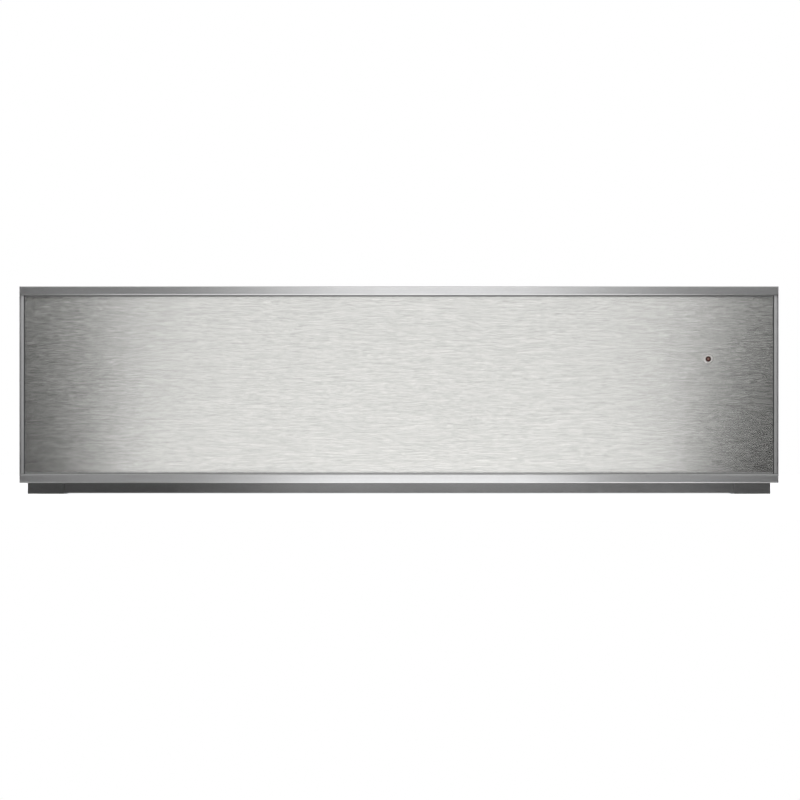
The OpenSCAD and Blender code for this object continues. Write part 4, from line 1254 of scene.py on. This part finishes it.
def make_board():
    """The control board: its sheet with what is soldered to it, on spacers."""
    low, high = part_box("control_board")
    spacer_h, sheet_t, margin = 4 * MM, 1.6 * MM, 6 * MM
    sheet_low = low.y + spacer_h
    sheet_high = sheet_low + sheet_t
    sheet = block("board", (low.x, sheet_low, low.z), (high.x, sheet_high, high.z))
    finish(soften(sheet, 0.15 * MM), "control_board")

    corners = [stood((x, low.y, z), Y) for x in (low.x + margin, high.x - margin)
               for z in (low.z + margin, high.z - margin)]
    spacer = turned("spacer", (0, 0, 0), Z, [(3 * MM, 0), (3 * MM, spacer_h)], 6)
    lamp_low, lamp_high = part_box("indicator_lens")
    lamp_at = ((lamp_low.x + lamp_high.x) / 2, sheet_low, (lamp_low.z + lamp_high.z) / 2)
    lamp = turned("lamp", lamp_at, -Y, [
        (2.7 * MM, 0), (2.7 * MM, 0.8 * MM), (2.1 * MM, 1 * MM), (1.9 * MM, 1.5 * MM),
        (1 * MM, 1.75 * MM)], 24)
    finish(joined("spacers", [copies(spacer, corners), lamp]), "control_board",
           "board_spacers", "pale_plastic")
    solder_parts(Vector((low.x, sheet_high, low.z)), Vector((high.x, sheet_high, high.z)))


def solder_parts(low, high):
    """Transformer, relay, chips, capacitors and plugs, on the board between two corners."""
    core_x, core_l, core_h, margin = low.x + 18 * MM, 28 * MM, 14 * MM, 6 * MM
    base, middle_z = low.y, (low.z + high.z) / 2

    def on_board(at, up=0.0):
        return stood((core_x + at * MM, base, middle_z + up * MM), Y)

    core = block("core", (core_x, base, low.z + margin),
                 (core_x + core_l, base + core_h, high.z - margin))
    soften(core, 0.8 * MM)
    relay = block("relay", (core_x + 94 * MM, base, middle_z - 8 * MM),
                  (core_x + 122 * MM, base + core_h, middle_z + 6 * MM))
    soften(relay, 0.5 * MM)
    chip = block("chip", (-9 * MM, -4 * MM, 0.6 * MM), (9 * MM, 4 * MM, 4 * MM))
    soften(chip, 0.3 * MM)
    chips = copies(chip, [on_board(140, 10), on_board(140, -8), on_board(166, -12)])
    finish(joined("dark_parts", [core, relay, chips]), "control_board", "board_dark_parts",
           "black_plastic")

    winding = block("winding", (core_x + 4 * MM, base + 2 * MM, low.z + 9 * MM),
                    (core_x + core_l - 4 * MM, base + 16 * MM, high.z - 9 * MM))
    round_edges(winding, 3 * MM, lambda a, b: abs(a.z - b.z) > 5 * MM, 5)
    pins = [on_board(132.5 + 2.2 * at, 10 + 4.6 * row) for at in range(8) for row in (-1, 1)]
    pin = block("pin", (-0.3 * MM, -0.6 * MM, 0), (0.3 * MM, 0.6 * MM, 2.4 * MM))
    tops = [on_board(28 + 16 * step) for step in (1, 2, 3)]
    lid = turned("lid", (0, 0, 0), Z, [(4.9 * MM, 15 * MM), (4.9 * MM, 15.8 * MM),
                                       (4.6 * MM, 15.9 * MM)], 24)
    finish(joined("bright_parts", [smooth(winding), copies(pin, pins), copies(lid, tops)]),
           "control_board", "board_bright_parts", "knob_metal")

    sleeve = turned("sleeve", (0, 0, 0), Z, [
        (5.7 * MM, 0), (6 * MM, 0.8 * MM), (6 * MM, 15 * MM), (5.5 * MM, 15.7 * MM),
        (5 * MM, 15.7 * MM), (5 * MM, 15.2 * MM)], 24)
    plug = block("plug", (-11 * MM, -4 * MM, 0), (11 * MM, 4 * MM, 9 * MM))
    soften(plug, 0.5 * MM)
    plugs = copies(plug, [stood((core_x + 150 * MM, base, low.z + 6 * MM), Y),
                          stood((core_x + 112 * MM, base, high.z - 6.5 * MM), Y)])
    finish(joined("sleeves", [copies(sleeve, tops), plugs]), "control_board", "board_sleeves",
           "motor_steel")


# ---------- Drawer box ----------

def make_box():
    dressed("base_pan", 0.2 * MM)
    for side in (-1, 1):
        node = "left_box_side" if side < 0 else "right_box_side"
        wall = bare_copy(node)
        low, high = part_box(node)
        inner_x = low.x if side > 0 else high.x
        round_edges(wall, 0.9 * MM, along_line(1, inner_x, high.z))
        round_edges(wall, 0.4 * MM, along_line(1, inner_x + side * MM, high.z - MM), 3)
        finish(soften(wall, 0.15 * MM), node)
    for node in ("box_rear_panel", "duct_cover"):
        dressed(node, 0.2 * MM)
    wool_slab("floor_insulation")
    finish(smooth(bare_copy("heating_element"), math.radians(50)), "heating_element")
    plate = bare_copy("warming_plate")
    round_edges(plate, 4 * MM, lambda a, b: abs(a.z - b.z) > EPS, 6)
    finish(soften(plate, 0.9 * MM, 4), "warming_plate")
    make_mat()


# ---------- Fan ----------

def make_fan():
    dressed("temperature_limiter", 0.3 * MM)
    make_wheel()
    make_motor()


def make_wheel():
    """A centrifugal wheel: domed back plate with a hub, curved blades, and a narrow front ring."""
    low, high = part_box("fan_wheel")
    x, z = (low.x + high.x) / 2, (low.z + high.z) / 2
    rim_r = (high.x - low.x) / 2
    depth, plate_t, hub_r, shaft_r = 12 * MM, 1 * MM, 7.5 * MM, 2.5 * MM
    inner_r, blade_t, blades, steps = 32 * MM, 0.7 * MM, 24, 6
    plate = turned("wheel_plate", (x, low.y, z), Y, [
        (hub_r * 0.6, 2 * MM), (hub_r, 2.6 * MM), (hub_r, depth - plate_t - 2.6 * MM),
        (hub_r + 4 * MM, depth - plate_t - 0.6 * MM), (rim_r - 0.5 * MM, depth - plate_t),
        (rim_r, depth - 0.6 * plate_t), (rim_r, depth)], 72)
    ring = turned("wheel_ring", (x, low.y, z), Y, [
        (rim_r - 7 * MM, 0.2 * MM), (rim_r - 0.4 * MM, 0), (rim_r, 0.4 * MM), (rim_r, 0.9 * MM),
        (rim_r - 7 * MM, 0.9 * MM)], 72, True)
    shaft = turned("wheel_shaft", (x, low.y, z), Y, [
        (shaft_r, depth - 0.5 * MM), (shaft_r, high.y - low.y - 0.5 * MM),
        (shaft_r - 0.5 * MM, high.y - low.y)], 32)
    blade = block("blade", (inner_r, -blade_t / 2, 0.6 * MM),
                  (inner_r + 2 * MM, blade_t / 2, depth - plate_t + 0.3 * MM))
    select(blade, "FACE", lambda face: face.normal.x > 0.9)
    reach = (rim_r - 1.5 * MM - inner_r - 2 * MM) / steps
    turn = math.radians(7)
    for step in range(1, steps + 1):
        heading = turn * (step - 0.5)
        bpy.ops.mesh.extrude_region_move(TRANSFORM_OT_translate={
            "value": (reach * math.cos(heading), reach * math.sin(heading), 0)})
        end = selected_middle(blade)
        bpy.ops.transform.rotate(value=-turn, orient_axis="Z", center_override=end)
    leave_edit()
    smooth(blade)
    round_about = [stood((x, low.y, z), Y) @ Matrix.Rotation(2 * math.pi * place / blades, 4, "Z")
                   for place in range(blades)]
    finish(joined("wheel", [plate, ring, shaft, copies(blade, round_about)]), "fan_wheel")


def selected_middle(piece):
    """The middle of the selected vertices, in edit mode."""
    piece.update_from_editmode()
    chosen = [vertex.co for vertex in piece.data.vertices if vertex.select]
    return sum(chosen, Vector()) / len(chosen)


def make_motor():
    """A flat motor: a can with a drawn front, cooling slots in its back, and two lugs."""
    low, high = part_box("fan_motor")
    x, z = (low.x + high.x) / 2, (low.z + high.z) / 2
    can_r, depth, bore, lug = 30 * MM, high.y - low.y, 2.58 * MM, 8 * MM
    can = turned("motor_can", (x, low.y, z), Y, [
        (bore, 0), (9 * MM, 0), (9.5 * MM, 1.2 * MM), (can_r - 3 * MM, 1.2 * MM),
        (can_r - 0.9 * MM, 2 * MM), (can_r, 4 * MM), (can_r, depth - 1 * MM),
        (can_r - 1 * MM, depth), (bore, depth)], 72, True)
    slots = 8
    for turn in range(slots):
        angle = (turn + 0.5) * 2 * math.pi / slots
        slot = block("slot", (14 * MM, -1.6 * MM, 0), (24 * MM, 1.6 * MM, 3 * MM))
        slot.matrix_world = stood((x, low.y, z), Y) @ Matrix.Rotation(angle, 4, "Z")
        cut_away(can, settle(slot))
    lugs = []
    for side in (-1, 1):
        middle = x + side * can_r
        ends = sorted((x + side * (can_r - 3 * MM), middle + side * lug))
        piece = block("lug", (ends[0], high.y - 2 * MM, z - lug), (ends[1], high.y, z + lug))
        round_edges(piece, 3 * MM, lambda a, b: abs(a.y - b.y) > MM
                    and abs(a.x - x) > can_r, 5)
        hole = turned("hole", (middle + side * 3.5 * MM, high.y - 3 * MM, z), Y,
                      [(1.8 * MM, 0), (1.8 * MM, 4 * MM)], 20)
        lugs.append(smooth(cut_away(piece, hole)))
    finish(joined("motor", [smooth(can)] + lugs), "fan_motor")


def make_plain():
    """Nodes whose shape is right already take their material."""
    for node, thing in frame["nodes"].items():
        if thing.hide_render:
            continue
        thing.data.materials.clear()
        thing.data.materials.append(MATERIALS[SLOT[node]])


set_studio()
make_front()
make_casing()
make_slides()
make_screws()
make_latch()
make_gland()
make_terminals()
make_lead()
make_controls()
make_box()
make_fan()
make_plain()
